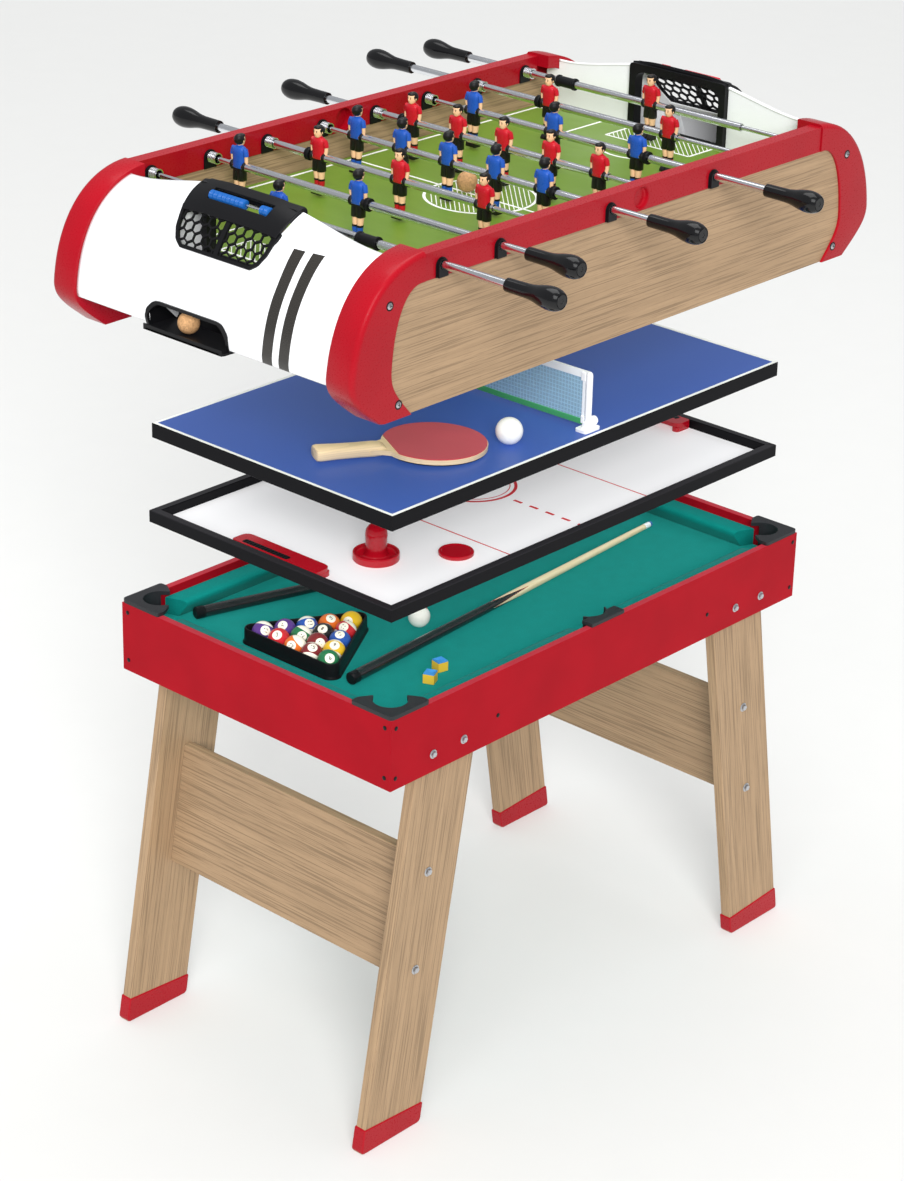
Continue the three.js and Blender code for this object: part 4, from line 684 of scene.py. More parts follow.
def make_finishes(look):
    """Every finish, made once. Colours that a user can change come from the panel."""
    colours = ((*getattr(look, name), 1.0) for name in LOOK_COLOURS)
    red, wood, cloth, blue, turf, black = colours
    shell = "#F4F5F7"
    lean, upright = math.radians(9.744), math.radians(90)
    # Board sprayed with red lacquer and rubbed down: an even satin red. Its top edge is a
    # paler red: painted light where the light falls on it
    moulded("lacquered_board_red", red, 0.4, 1.2, 0.015, Specular_IOR_Level=0.06)
    pale_red = "#AE2F3B"
    moulded("lacquered_edge_pale_red", pale_red, 0.4, 0.8, Specular_IOR_Level=0.1)
    # ABS, injection moulded: glossy, slight waves, strong highlights
    moulded(
        "moulded_abs_red", red, 0.3, 2.5, 0.01, mottle=0.05, Specular_IOR_Level=0.2,
        Coat_Weight=0.06, Coat_Roughness=0.1)
    # ABS from a polished mould: the same red, as glossy as a toy
    moulded("polished_abs_red", shade(red, 1.15), 0.14, 2.5, 0.004, mottle=0.03)
    # Black ABS, satin from a fine mould and shiny on the handles
    moulded("moulded_abs_black", black, 0.38, 0.9, 0.03, spread=0.06, Specular_IOR_Level=0.2)
    moulded("polished_abs_black", shade(black, 0.6), 0.16, 2.0, 0.008, Specular_IOR_Level=0.4)
    # ABS from a spark-eroded mould: a coarse matt dark grey
    moulded("textured_abs_grey", "#232427", 0.6, 0.7, 0.1, mottle=0.12)
    # White ABS: glossy, with printed stripes on the end shells
    striped_shell("striped_abs_white", shell, "#2B2824")
    moulded("moulded_abs_white", shell, 0.3, 1.2, 0.015, mottle=0.02)
    # Black print, dark mitre joints, and painted shade in the screws' cross cuts and in the
    # gaps round their heads: matt, nearly no light comes back
    moulded("dark_recess", "#08080A", 0.8)
    # Oak-look foil pressed on board: its grain follows each board's length
    wood_foil("wood_foil_along", shade(wood, 0.98))
    wood_foil("wood_foil_across", shade(wood, 0.92), (0, 0, upright))
    wood_foil("wood_foil_leg_left", wood, (0, -upright + lean, 0))
    wood_foil("wood_foil_leg_right", wood, (0, -upright - lean, 0))
    # Napped wool cloth, glued: soft and matt. The cushions get a darker copy of it: painted shade
    felt("billiard_cloth", cloth)
    felt("cushion_cloth", shade(cloth, 0.82))
    # Cast resin, polished: a deep mirror gloss
    numbered_resin("numbered_resin")
    cast = {"mottle": 0.02, "Coat_Weight": 0.4, "Coat_Roughness": 0.05}
    moulded("cast_resin_white", "#F6F3EA", 0.1, 6, 0.004, **cast)
    # Maple, turned, lacquered black over the butt or over most of its length
    cue_wood("cue_lacquer_points", 0.33, 0.085)
    cue_wood("cue_lacquer_black", 0.74, 0.02)
    # Pressed leather: matt, a little fibrous
    moulded("leather_tip_blue", "#3C6FA8", 0.85, 0.5, 0.1)
    # Pressed chalk: dry, dusty, no shine at all
    moulded("chalk_blue", "#3B86C6", 0.95, 0.6, 0.15)
    # Printed paper glued round the chalk: matt
    moulded("paper_label_yellow", "#E0B63A", 0.75, 0.4, 0.03)
    # Steel, zinc plated: a soft grey sheen
    polished_steel("zinc_plated_steel", "#C4C6CA", 0.3)
    # Steel tube, chromium plated and polished: bright, nearly a mirror
    polished_steel("chromed_steel", "#E8EAEE", 0.2)
    # Melamine film on board: smooth, even, satin
    coloured_board("white_melamine", "#FAFAFB", 0.42)
    coloured_board("blue_melamine", blue, 0.42)
    # Screen-printed lines: a thin satin layer that stands a hair above the board
    moulded("printed_red", "#CC2230", 0.38, 0.6, 0.01)
    moulded("printed_white", "#F4F6F2", 0.42, 0.6, 0.01)
    # Foil wrapped round the boards' edges: black, and on the rim's top a dark grey that is
    # painted light, where the light falls on it
    moulded("black_edge_foil", "#0F0F12", 0.46, 1.0, Specular_IOR_Level=0.08)
    moulded("rim_foil_grey", "#252427", 0.42, 1.0, 0.02, Specular_IOR_Level=0.15)
    # Moulded rubber sheet with short pimples: dull, with a faint bloom
    moulded("pimple_rubber_red", "#BE3F4C", 0.62, 0.9, 0.08, Sheen_Weight=0.15)
    # Plywood of pale veneers, sanded: fine grain, dark glue lines
    layered_ply("layered_ply", "#F0D6AC")
    # Celluloid, pressed from two halves: a soft white with hardly any shine
    moulded("celluloid_white", "#F7F7F3", 0.42, 0.8, 0.01, mottle=0.02)
    # Knitted and woven polyester: a pale veil between matt tapes
    net_mesh("knitted_net", "#A4CBE0")
    for name, colour in (("white", "#F2F5F7"), ("green", "#3FA060")):
        moulded(f"woven_tape_{name}", colour, 0.8, 0.8, 0.12, Sheen_Weight=0.2)
    # Printed board under a clear film: green, mown bands, satin
    printed_turf("printed_turf", turf)
    # Polystyrene players, moulded and painted: bright, clean, softly shiny
    moulded("team_red", "#B51222", 0.3, 1.5, 0.02)
    moulded("team_blue", "#1D4FA8", 0.3, 1.5, 0.02)
    moulded("moulded_skin", "#E9BC93", 0.42, 1.2, 0.02)
    moulded("moulded_hair", "#0D0B0C", 0.4, 1.0, 0.08)
    # Polystyrene beads, moulded: glossy ribs
    moulded("bead_blue", "#1A5DA8", 0.22, 1.5, 0.01)
    moulded("bead_red", "#C42034", 0.22, 1.5, 0.01)
    # Pressed cork: warm brown, pitted
    cork("pressed_cork", "#C79A6C")
    # Painted studio floor: pale, matt, even
    floor = {"mottle": 0.004, "Specular_IOR_Level": 0.1}
    moulded("painted_floor", "#DDDDDB", 0.8, 6.0, 0.02, **floor)


# Pool table


def mirrored(surface, side_x, side_y):
    return surface.scaled(x=side_x, y=side_y)


def leg_middle(z):
    """Where the left legs' middle stands at a height: it leans in as it rises."""
    return -(LEG_FOOT_X - LEG_SLOPE * z)


def leaning(half, heights, middles=None):
    """Four corners round the left legs' leaning middle line, at four heights: left,
    right, right, left. Middles says at what heights the line is read, if at others."""
    rows = zip((-1, 1, 1, -1), heights, middles or heights)
    return [(leg_middle(at) + sign * half, z) for sign, z, at in rows]


def edged_board(outline, strip):
    """An apron board, and along its top a strip of paler red: painted light on the top edge."""
    board = slab(outline, APRON_BOTTOM, APRON_TOP - GAP)
    return board + slab(strip, APRON_TOP - 0.5, APRON_TOP).painted(1)


def apron_board():
    """The front board with mitred ends; its strip stands 0.8 back."""
    x, y, wall = APRON_X, APRON_Y, APRON_WALL
    outline = [(-x, -y), (x, -y), (x - wall, wall - y), (wall - x, wall - y)]
    low, high, end = 0.8 - y, wall - y - 0.8, x - wall + 0.4
    return edged_board(outline, [(0.8 - x, low), (x - 0.8, low), (end, high), (-end, high)])


def apron_end():
    """The left end board, mitred to meet the long ones."""
    x, y, wall = APRON_X, APRON_Y, APRON_WALL
    outline = [(-x, y), (-x, -y), (wall - x, wall - y), (wall - x, y - wall)]
    low, high, end = 0.8 - x, wall - x - 0.8, y - wall + 0.4
    return edged_board(outline, [(low, y - 0.8), (low, 0.8 - y), (high, -end), (high, end)])


def pocket_cup(x, y, low_side=(0, 360)):
    """A cup under the bed, and a lining of its width that rises round one side of it."""
    outer, inner = POCKET_R + POCKET_WALL, POCKET_R
    profile = [
        (0, CUP_BOTTOM), (outer - 3, CUP_BOTTOM), (outer, CUP_BOTTOM + 3), (outer, BED_TOP - 0.2),
        (inner + 0.6, BED_TOP - 0.2), (inner, BED_TOP - 1), (inner, CUP_BOTTOM + 4),
        (inner - 2, CUP_BOTTOM + 2), (0, CUP_BOTTOM + 2)]
    cup = lathe(profile, 48).moved(x, y)
    start, stop = low_side
    band = np.vstack([arc((x, y), outer, start, stop, 28), arc((x, y), inner, stop, start, 28)])
    return cup + slab(band, BED_TOP - 0.2, PLATE_TOP - 0.5)


def middle_pocket():
    """The front middle plate, bitten by the pocket's mouth, with its cup and lining."""
    y, half, back = -APRON_Y, 37, 256
    bite = math.degrees(math.asin((MIDDLE_Y - back) / POCKET_R))
    mouth = arc((0, -MIDDLE_Y), POCKET_R, bite, -180 - bite, 20)
    corners = [(-half, y), (half, y), (half, -back)]
    outline = np.vstack([corners, mouth, [(-half, -back)]])
    top = slab(outline, APRON_TOP, PLATE_TOP)
    return top + pocket_cup(0, -MIDDLE_Y, (-158, -22))


def corner_pocket():
    """The front left plate: two arms along the apron with slanted inner corners and the
    round mouth of the pocket between them, over the lining and the cup."""
    x, y = -CORNER_X, -CORNER_Y
    corners = [(-APRON_X, -198), (-APRON_X, -APRON_Y), (-387, -APRON_Y)]
    corners += [(-387, -261.5), (-397.7, -244.1)]
    mouth = arc((x, y), POCKET_R, -45, -225, 26)
    far = [(-433.1, -208.7), (-450.5, -198)]
    outline = rounded(np.vstack([corners, far]), [4, 8, 5, 3, 1.5, 1.5, 3])
    outline = np.vstack([outline[: 5 * 6], mouth, outline[5 * 6 :]])
    return slab(outline, APRON_TOP, PLATE_TOP) + pocket_cup(x, y, (-225, -45))


def bed_outline():
    """The cloth board: a rectangle with a round bite at each pocket."""
    x, y, bite = INNER_X, INNER_Y, POCKET_R + POCKET_WALL + GAP
    lean = math.degrees(math.acos((INNER_Y - MIDDLE_Y) / bite))
    quarter = [
        arc((-CORNER_X, -CORNER_Y), bite, 180, -90, 30),
        arc((0, -MIDDLE_Y), bite, -90 - lean, -270, 14)[:-1]]
    left_front = np.vstack(quarter)
    right_front = (left_front * [-1, 1])[::-1]
    front = np.vstack([left_front, [(0, -MIDDLE_Y + bite)], right_front])
    return np.vstack([front, (front * [1, -1])[::-1]])


def cushion(start, stop):
    """A cushion along the front wall between two places: a rounded nose over an
    undercut foot, its ends cut slanting so that the nose is the shorter side."""
    wall = -INNER_Y
    low = CUSHION_TOP - NOSE_DROP
    profile = [
        (wall + 0.2, BED_TOP - 0.1), (wall + CUSHION_FOOT, BED_TOP - 0.1),
        (wall + CUSHION_DEPTH, low), (wall + CUSHION_DEPTH, CUSHION_TOP - 3),
        (wall + CUSHION_DEPTH - 7, CUSHION_TOP), (wall + 0.2, CUSHION_TOP)]
    ring = rounded(profile, [0.5, 2, 2.5, 3.5, 4, 2])
    slant = (ring[:, 0] - wall) * 0.42
    rows = []
    for place, sign in ((start, 1), (stop, -1)):
        for inset, drawn in ((0.0, 1.6), (1.6, 0.0)):
            x = place + sign * (slant + inset)
            middle = ring.mean(axis=0)
            shape = middle + (ring - middle) * (1 - drawn / 28)
            rows.append(np.column_stack([x, shape[:, 0], shape[:, 1]]))
    return ring_skin([rows[0], rows[1], rows[3], rows[2]])


def ring_along(outline_at, profile):
    """An outline repeated for each inset and height of a closed profile."""
    rings = []
    for inset, height in profile:
        flat = outline_at(inset)
        rings.append(np.column_stack([flat, np.full(len(flat), height)]))
    return ring_skin(rings, closed=True)


def rack_outline(inset):
    """The rack's triangle: three corner arcs round points that stand 120 degrees
    apart; a point of each arc is its middle plus the corner's radius less the inset."""
    reach = 2 * (RACK_APOTHEM - RACK_CORNER)
    arcs = []
    for middle in (0, 120, 240):
        angle = math.radians(middle)
        centre = (RACK_AT[0] + reach * math.cos(angle), RACK_AT[1] + reach * math.sin(angle))
        arcs.append(arc(centre, RACK_CORNER - inset, middle - 60, middle + 60, 12))
    return np.vstack(arcs)


BALL_COLOURS = {
    1: "#E3B51E", 2: "#1E4FA3", 3: "#C2202B", 4: "#54307F", 5: "#DE6B1E", 6: "#1C6E43",
    7: "#7A1E24", 8: "#141416"}
RACK_ORDER = [1, 11, 5, 2, 8, 10, 9, 7, 14, 4, 6, 15, 13, 3, 12]
# The strokes of the digits on a grid two units wide and four high
DIGITS = {
    "0": [[(0, 0), (2, 0), (2, 4), (0, 4), (0, 0)]], "1": [[(0.4, 3), (1.2, 4), (1.2, 0)]],
    "2": [[(0, 3.4), (0.6, 4), (1.6, 4), (2, 3.2), (0, 0), (2, 0)]],
    "3": [[(0, 4), (2, 4), (1, 2.4), (2, 1.4), (1.4, 0), (0, 0.3)]],
    "4": [[(1.5, 0), (1.5, 4), (0, 1.2), (2, 1.2)]],
    "5": [[(2, 4), (0.2, 4), (0.1, 2.2), (1.6, 2.3), (2, 1.2), (1.4, 0), (0, 0.2)]],
    "6": [[(1.8, 4), (0.2, 2), (0, 0.8), (0.8, 0), (2, 0.7), (1.7, 2), (0.2, 1.9)]],
    "7": [[(0, 4), (2, 4), (0.7, 0)]],
    "8": [
        [(1, 2.1), (0.1, 3), (1, 4), (1.9, 3), (1, 2.1)],
        [(1, 2.1), (0, 1), (1, 0), (2, 1), (1, 2.1)]],
    "9": [[(0.2, 0), (1.8, 2), (2, 3.2), (1.2, 4), (0, 3.3), (0.3, 2), (1.8, 2.1)]]}


def painted_digits(number, radius):
    """The strokes of a number laid on the ball round +X: a flat point (u, v) goes to
    the unit vector of (1, u, v), and each stroke is a ribbon 0.9 mm wide."""
    ribbons = []
    text = str(number)
    for place, digit in enumerate(text):
        for stroke in DIGITS[digit]:
            line = np.array(stroke, dtype=float) * 1.35
            line += [place * 4.0 - len(text) * 2.0 + 0.65, -2.7]
            for first, second in zip(line[:-1], line[1:]):
                step = (second - first) / np.linalg.norm(second - first)
                side = np.array([-step[1], step[0]]) * 0.45
                first, second = first - step * 0.3, second + step * 0.3
                flat = np.array([first - side, second - side, second + side, first + side])
                ways = np.column_stack([np.full(4, radius), flat])
                ways /= np.linalg.norm(ways, axis=1, keepdims=True)
                rings = [ways * (radius - 0.05), ways * (radius + 0.12)]
                ribbons.append(ring_skin(rings))
    return joined(ribbons)


def numbered_ball(number, x, y, turns):
    """A ball turned as it lies: its marks hold the colour, the stripe and the way each
    point faces in the ball's own axes."""
    own = sphere(BALL_R, 44, 22)
    facing = own.points / np.linalg.norm(own.points, axis=1, keepdims=True)
    tint = linear(BALL_COLOURS[(number - 1) % 8 + 1])[:3]
    count = len(own.points)
    own.marks["facing"] = facing
    own.marks["tint"] = np.tile([*tint, float(number > 8)], (count, 1))
    digits = painted_digits(number, BALL_R)
    digits.marks["facing"] = np.tile([0.0, 1.0, 0.0], (len(digits.points), 1))
    digits.marks["tint"] = np.tile([0.01, 0.01, 0.012, 0.0], (len(digits.points), 1))
    ball = own + digits.painted(1)
    for axis, degrees in turns:
        ball = ball.turned(axis, degrees)
    return ball.moved(x, y, RACK_Z + BALL_R)


def racked_balls():
    """Five rows of balls, one to five in each, a ball's pitch apart. Their numbers face
    up and out over the table's near left corner."""
    draw = np.random.default_rng(12)
    step = BALL_PITCH * math.sqrt(3) / 2
    tip = 4 * step * 2 / 3
    places = [
        (RACK_AT[0] + tip - row * step, RACK_AT[1] + (seat - row / 2) * BALL_PITCH)
        for row in range(5) for seat in range(row + 1)]
    balls = []
    for number, (x, y) in zip(RACK_ORDER, places):
        turns = [
            ("X", draw.uniform(-40, 40)), ("Y", draw.uniform(-66, -26)),
            ("Z", draw.uniform(-168, -112))]
        balls.append(numbered_ball(number, x, y, turns))
    return joined(balls)


def cue_stick(start, turn):
    """A profile turned round the cue's axis: rubber butt, long taper, ferrule and
    tip. Marks give each point's distance from the butt in metres and its angle."""
    length, butt, tip = CUE_LENGTH, CUE_BUTT, CUE_TIP
    rows = [(0, 0, 3), (butt - 2, 0, 3), (butt, 2, 3), (butt, 14, 3)]
    stations = np.linspace(14.5, length - 22, 60)
    radius = butt + (tip - butt) * stations / length
    rows += [(r, s, 0) for r, s in zip(radius, stations)]
    rows += [(tip + 0.15, length - 21.5, 1), (tip + 0.1, length - 8, 1)]
    rows += [(tip, length - 7.5, 2), (tip, length - 3, 2), (tip - 1.6, length - 0.8, 2)]
    rows += [(0, length, 2)]
    profile = np.array([row[:2] for row in rows])
    sides = 32
    stick = lathe(profile, sides)
    stick.paint[: sides * (len(rows) - 1)] = np.repeat([row[2] for row in rows[:-1]], sides)
    angle = np.arctan2(stick.points[:, 1], stick.points[:, 0]) / (2 * np.pi)
    stick.marks["along"] = np.column_stack(
        [stick.points[:, 2] * MM, angle % 1, np.zeros(len(angle))])
    fall = math.degrees(math.asin((butt - tip) / length))
    stick = stick.turned("Y", 90 + fall).turned("Z", turn)
    return stick.moved(start[0], start[1], CUE_AXIS_Z)


def hex_bolt(size):
    """A flanged hexagon bolt head that stands out towards +Z."""
    flange = lathe([(0, -1), (size + 2, -1), (size + 2, 0.6), (size + 1, 1.2), (0, 1.2)], 32)
    head = lathe(
        [(0, 1), (size, 1), (size, size * 0.62), (size * 0.82, size * 0.8), (0, size * 0.8)], 6)
    return flange + head


def screw_cap(radius=3.4):
    """A low domed cap over a screw hole, with a step round its rim."""
    profile = [(0, -1), (radius, -1), (radius, 0.4), (radius - 0.8, 0.9), (0, 1.3)]
    return lathe(profile, 28)


def on_front(surface, x, y, z):
    """Turns a fastener made towards +Z to face -Y and sets it on a front face."""
    return surface.turned("X", 90).moved(x, y, z)


def at_corners():
    """The four corners: each one's name, and how the front left's piece is mirrored."""
    return [(f"{y}_{x}", -SIDES[x], -FRONTS[y]) for x in SIDES for y in FRONTS]


def four_corners(surface):
    """The same piece at all four corners of the table."""
    return joined(mirrored(surface, x, y) for x in (1, -1) for y in (1, -1))


# Settings that a user can change

LOOK_COLOURS = ("red", "wood", "cloth", "blue", "turf", "black")


def look_colour(name, description, default):
    return FloatVectorProperty(
        name=name, description=description, subtype="COLOR", default=linear(default)[:3], min=0,
        max=1)


def edge_size(name, description, default, high):
    description += ", in millimetres"
    return FloatProperty(name=name, description=description, default=default, min=0.2, max=high)


class LookSettings(bpy.types.PropertyGroup):
    """Colours and edge sizes of the whole table."""

    red: look_colour("Red", "Lacquered boards, rails and corner caps", "#9F0B1B")
    wood: look_colour("Wood foil", "Legs, cross panels and the football module's sides", "#AA8E6F")
    cloth: look_colour("Billiard cloth", "The pool bed and its cushions", "#0B857D")
    blue: look_colour("Tennis blue", "Upper face of the table tennis board", "#3E5DAA")
    turf: look_colour("Turf green", "The football pitch", "#6A8A2C")
    black: look_colour("Black plastic", "Goals, bushes and stop rings", "#121214")
    board_edge: edge_size("Board edge", "Rounding of the boards' edges", 0.8, 2.0)
    moulded_edge: edge_size("Moulded edge", "Rounding of the plastic pieces' edges", 0.6, 1.5)


class GAMES_OT_apron(bpy.types.Operator):
    """Builds the four apron boards and their screw caps"""

    bl_idname = "games.apron"
    bl_label = "Apron"

    def execute(self, context):
        add = partial(piece, "pool_table")
        look = context.scene.table_look
        # The second red is painted light on the boards' top edges
        reds = "lacquered_board_red lacquered_edge_pale_red"
        for name, side in FRONTS.items():
            board = mirrored(apron_board(), 1, -side)
            add(f"apron_board_{name}", board, reds, edge=0.35)
            pocket = mirrored(middle_pocket(), 1, -side)
            add(
                f"middle_pocket_{name}", pocket, "textured_abs_grey", f"apron_{name}",
                edge=look.moulded_edge)
        for name, side in SIDES.items():
            add(
                f"apron_board_{name}", mirrored(apron_end(), -side, 1), reds, f"apron_{name}",
                edge=0.35)
        caps = joined(
            on_front(screw_cap(), sign * x, -APRON_Y, z) for x, z in LONG_SCREWS
            for sign in (1, -1))
        cap = screw_cap().turned("Y", 90)
        ends = joined(cap.moved(APRON_X, sign * y, z) for sign in (-1, 1) for y, z in END_SCREWS)
        whole = caps + mirrored(caps, 1, -1) + ends + mirrored(ends, -1, 1)
        add("apron_screw_caps", whole, "moulded_abs_black")
        bolts = [on_front(hex_bolt(size), x, -face, z) for x, z, face, size in BOLTS]
        bolts = four_corners(joined(bolts))
        add("hexagon_bolts", bolts, "zinc_plated_steel", edge=0.3)
        return {"FINISHED"}


class GAMES_OT_bed(bpy.types.Operator):
    """Builds the cloth bed, its six cushions and the corner pockets"""

    bl_idname = "games.bed"
    bl_label = "Bed, cushions and pockets"

    def execute(self, context):
        add = partial(piece, "pool_table")
        look = context.scene.table_look
        board = slab(bed_outline(), BED_UNDER, BED_TOP)
        long_side = cushion(27.5, CUSHION_END) + cushion(-CUSHION_END, -27.5)
        reach = INNER_Y - (INNER_X - CUSHION_END)
        short = cushion(-reach, reach).moved(y=INNER_Y - INNER_X).turned("Z", -90)
        cushions = joined([long_side, long_side.turned("Z", 180), short, short.turned("Z", 180)])
        # The cushions take the darker copy of the cloth: painted shade
        add(
            "cloth_bed", board + cushions.painted(1), "billiard_cloth cushion_cloth", "pool_bed",
            edge=0.4)
        for corner, x, y in at_corners():
            add(
                f"corner_plate_{corner}", mirrored(corner_pocket(), x, y), "textured_abs_grey",
                f"corner_pocket_{corner}", edge=look.moulded_edge)
        return {"FINISHED"}


class GAMES_OT_legs(bpy.types.Operator):
    """Builds the splayed legs with their foot caps, and the cross panels"""

    bl_idname = "games.legs"
    bl_label = "Legs and cross panels"

    def execute(self, context):
        add = partial(piece, "pool_table")
        look = context.scene.table_look
        board = leaning(LEG_HALF, (0.6, 0.6, LEG_TOP, LEG_TOP), (0, 0, LEG_TOP, LEG_TOP))
        leg = slab(board, -LEG_FACE, -LEG_INNER, axis="Y")
        cap = leaning(LEG_HALF + FOOT_PROUD, (0, 0, FOOT_INNER, FOOT_OUTER))
        cap = rounded(cap, [7, 7, 3, 3])
        cap = slab(cap, -LEG_FACE - FOOT_PROUD, -LEG_INNER + FOOT_PROUD, axis="Y")
        for corner, x, y in at_corners():
            add(
                f"leg_{corner}_board", mirrored(leg, x, y),
                f"wood_foil_leg_{corner.split('_')[1]}", f"leg_{corner}", edge=look.board_edge)
            add(f"foot_cap_{corner}", mirrored(cap, x, y), "moulded_abs_red", edge=2.2, steps=4)
        low, high = PANEL_Z
        panel = leaning(PANEL_HALF, (low, low, high, high))
        panel = slab(panel, -PANEL_REACH, PANEL_REACH, axis="Y")
        for end, side in SIDES.items():
            add(
                f"cross_board_{end}", mirrored(panel, -side, 1), "wood_foil_across",
                f"cross_panel_{end}", edge=look.board_edge)
        return {"FINISHED"}


class GAMES_OT_balls(bpy.types.Operator):
    """Builds the rack, the fifteen balls, the cue ball, the cues and the chalks"""

    bl_idname = "games.balls"
    bl_label = "Rack, balls and cues"

    def execute(self, context):
        add = partial(piece, "pool_table")
        low, high = RACK_Z, RACK_Z + RACK_HEIGHT
        profile = [
            (-2.2, low), (-2.2, low + 1.4), (-0.4, low + 3.2), (0, low + 5), (0.3, high - 1.6),
            (1.2, high), (RACK_WALL - 1.2, high), (RACK_WALL - 0.1, high - 1.6),
            (RACK_WALL, low + 1), (RACK_WALL, low)]
        add(
            "triangle_rack", ring_along(rack_outline, profile), "moulded_abs_black", "ball_rack",
            smooth=50)
        add("racked_balls", racked_balls(), "numbered_resin dark_recess")
        white = sphere(BALL_R, 48, 24).moved(*CUE_BALL_AT, RACK_Z + BALL_R)
        spot = [(0, BALL_R - 0.1), (2.2, BALL_R - 0.18), (2.2, BALL_R - 0.05), (0, BALL_R + 0.08)]
        spot = lathe(spot, 20).turned("X", 38).turned("Z", 50)
        add(
            "white_ball", white + spot.moved(*CUE_BALL_AT, RACK_Z + BALL_R).painted(1),
            "cast_resin_white printed_red", "cue_ball")
        for name, (start, turn) in CUES.items():
            wood = {"front": "cue_lacquer_points", "back": "cue_lacquer_black"}[name]
            add(
                f"cue_stick_{name}", cue_stick(start, turn),
                f"{wood} moulded_abs_white leather_tip_blue moulded_abs_black", f"cue_{name}")
        for number, ((x, y), turn) in enumerate(CHALKS, 1):
            half, top = CHALK_HALF, BED_TOP + CHALK_HEIGHT
            box = frame_skin(
                half, half, [(0.4, BED_TOP + 0.2), (0, BED_TOP + 0.8), (0, top - 2.4)])
            crown = frame_skin(
                half, half,
                [
                    (0.2, top - 2.5), (0.3, top - 0.6), (1.0, top), (3.0, top - 0.8),
                    (5.4, top - 2.2)])
            add(
                f"chalk_{number}", (box + crown.painted(1)).turned("Z", turn).moved(x, y),
                "paper_label_yellow chalk_blue", smooth=25)
        return {"FINISHED"}


# Puck game


def flat_ring(radius, width, z, relief=RELIEF, sides=96):
    """A printed circle: a low ring round the middle, its profile a thin rectangle."""
    profile = [
        (radius - width / 2, z), (radius + width / 2, z), (radius + width / 2, z + relief),
        (radius - width / 2, z + relief)]
    return lathe(profile, sides, closed=True)


def printed_dot(z, sides=32):
    """A printed spot 10 mm wide in the middle."""
    return lathe([(0, z), (5, z), (5, z + RELIEF), (0, z + RELIEF)], sides)


def stroke(points, width, z, relief=RELIEF):
    """A printed line of some width through flat points; each point moves to both sides
    along the square to the line's direction there."""
    points = numbers(points)
    ahead = np.gradient(points, axis=0)
    ahead /= np.linalg.norm(ahead, axis=1, keepdims=True)
    side = np.column_stack([-ahead[:, 1], ahead[:, 0]]) * width / 2
    outline = np.vstack([points - side, (points + side)[::-1]])
    return slab(outline, z, z + relief)


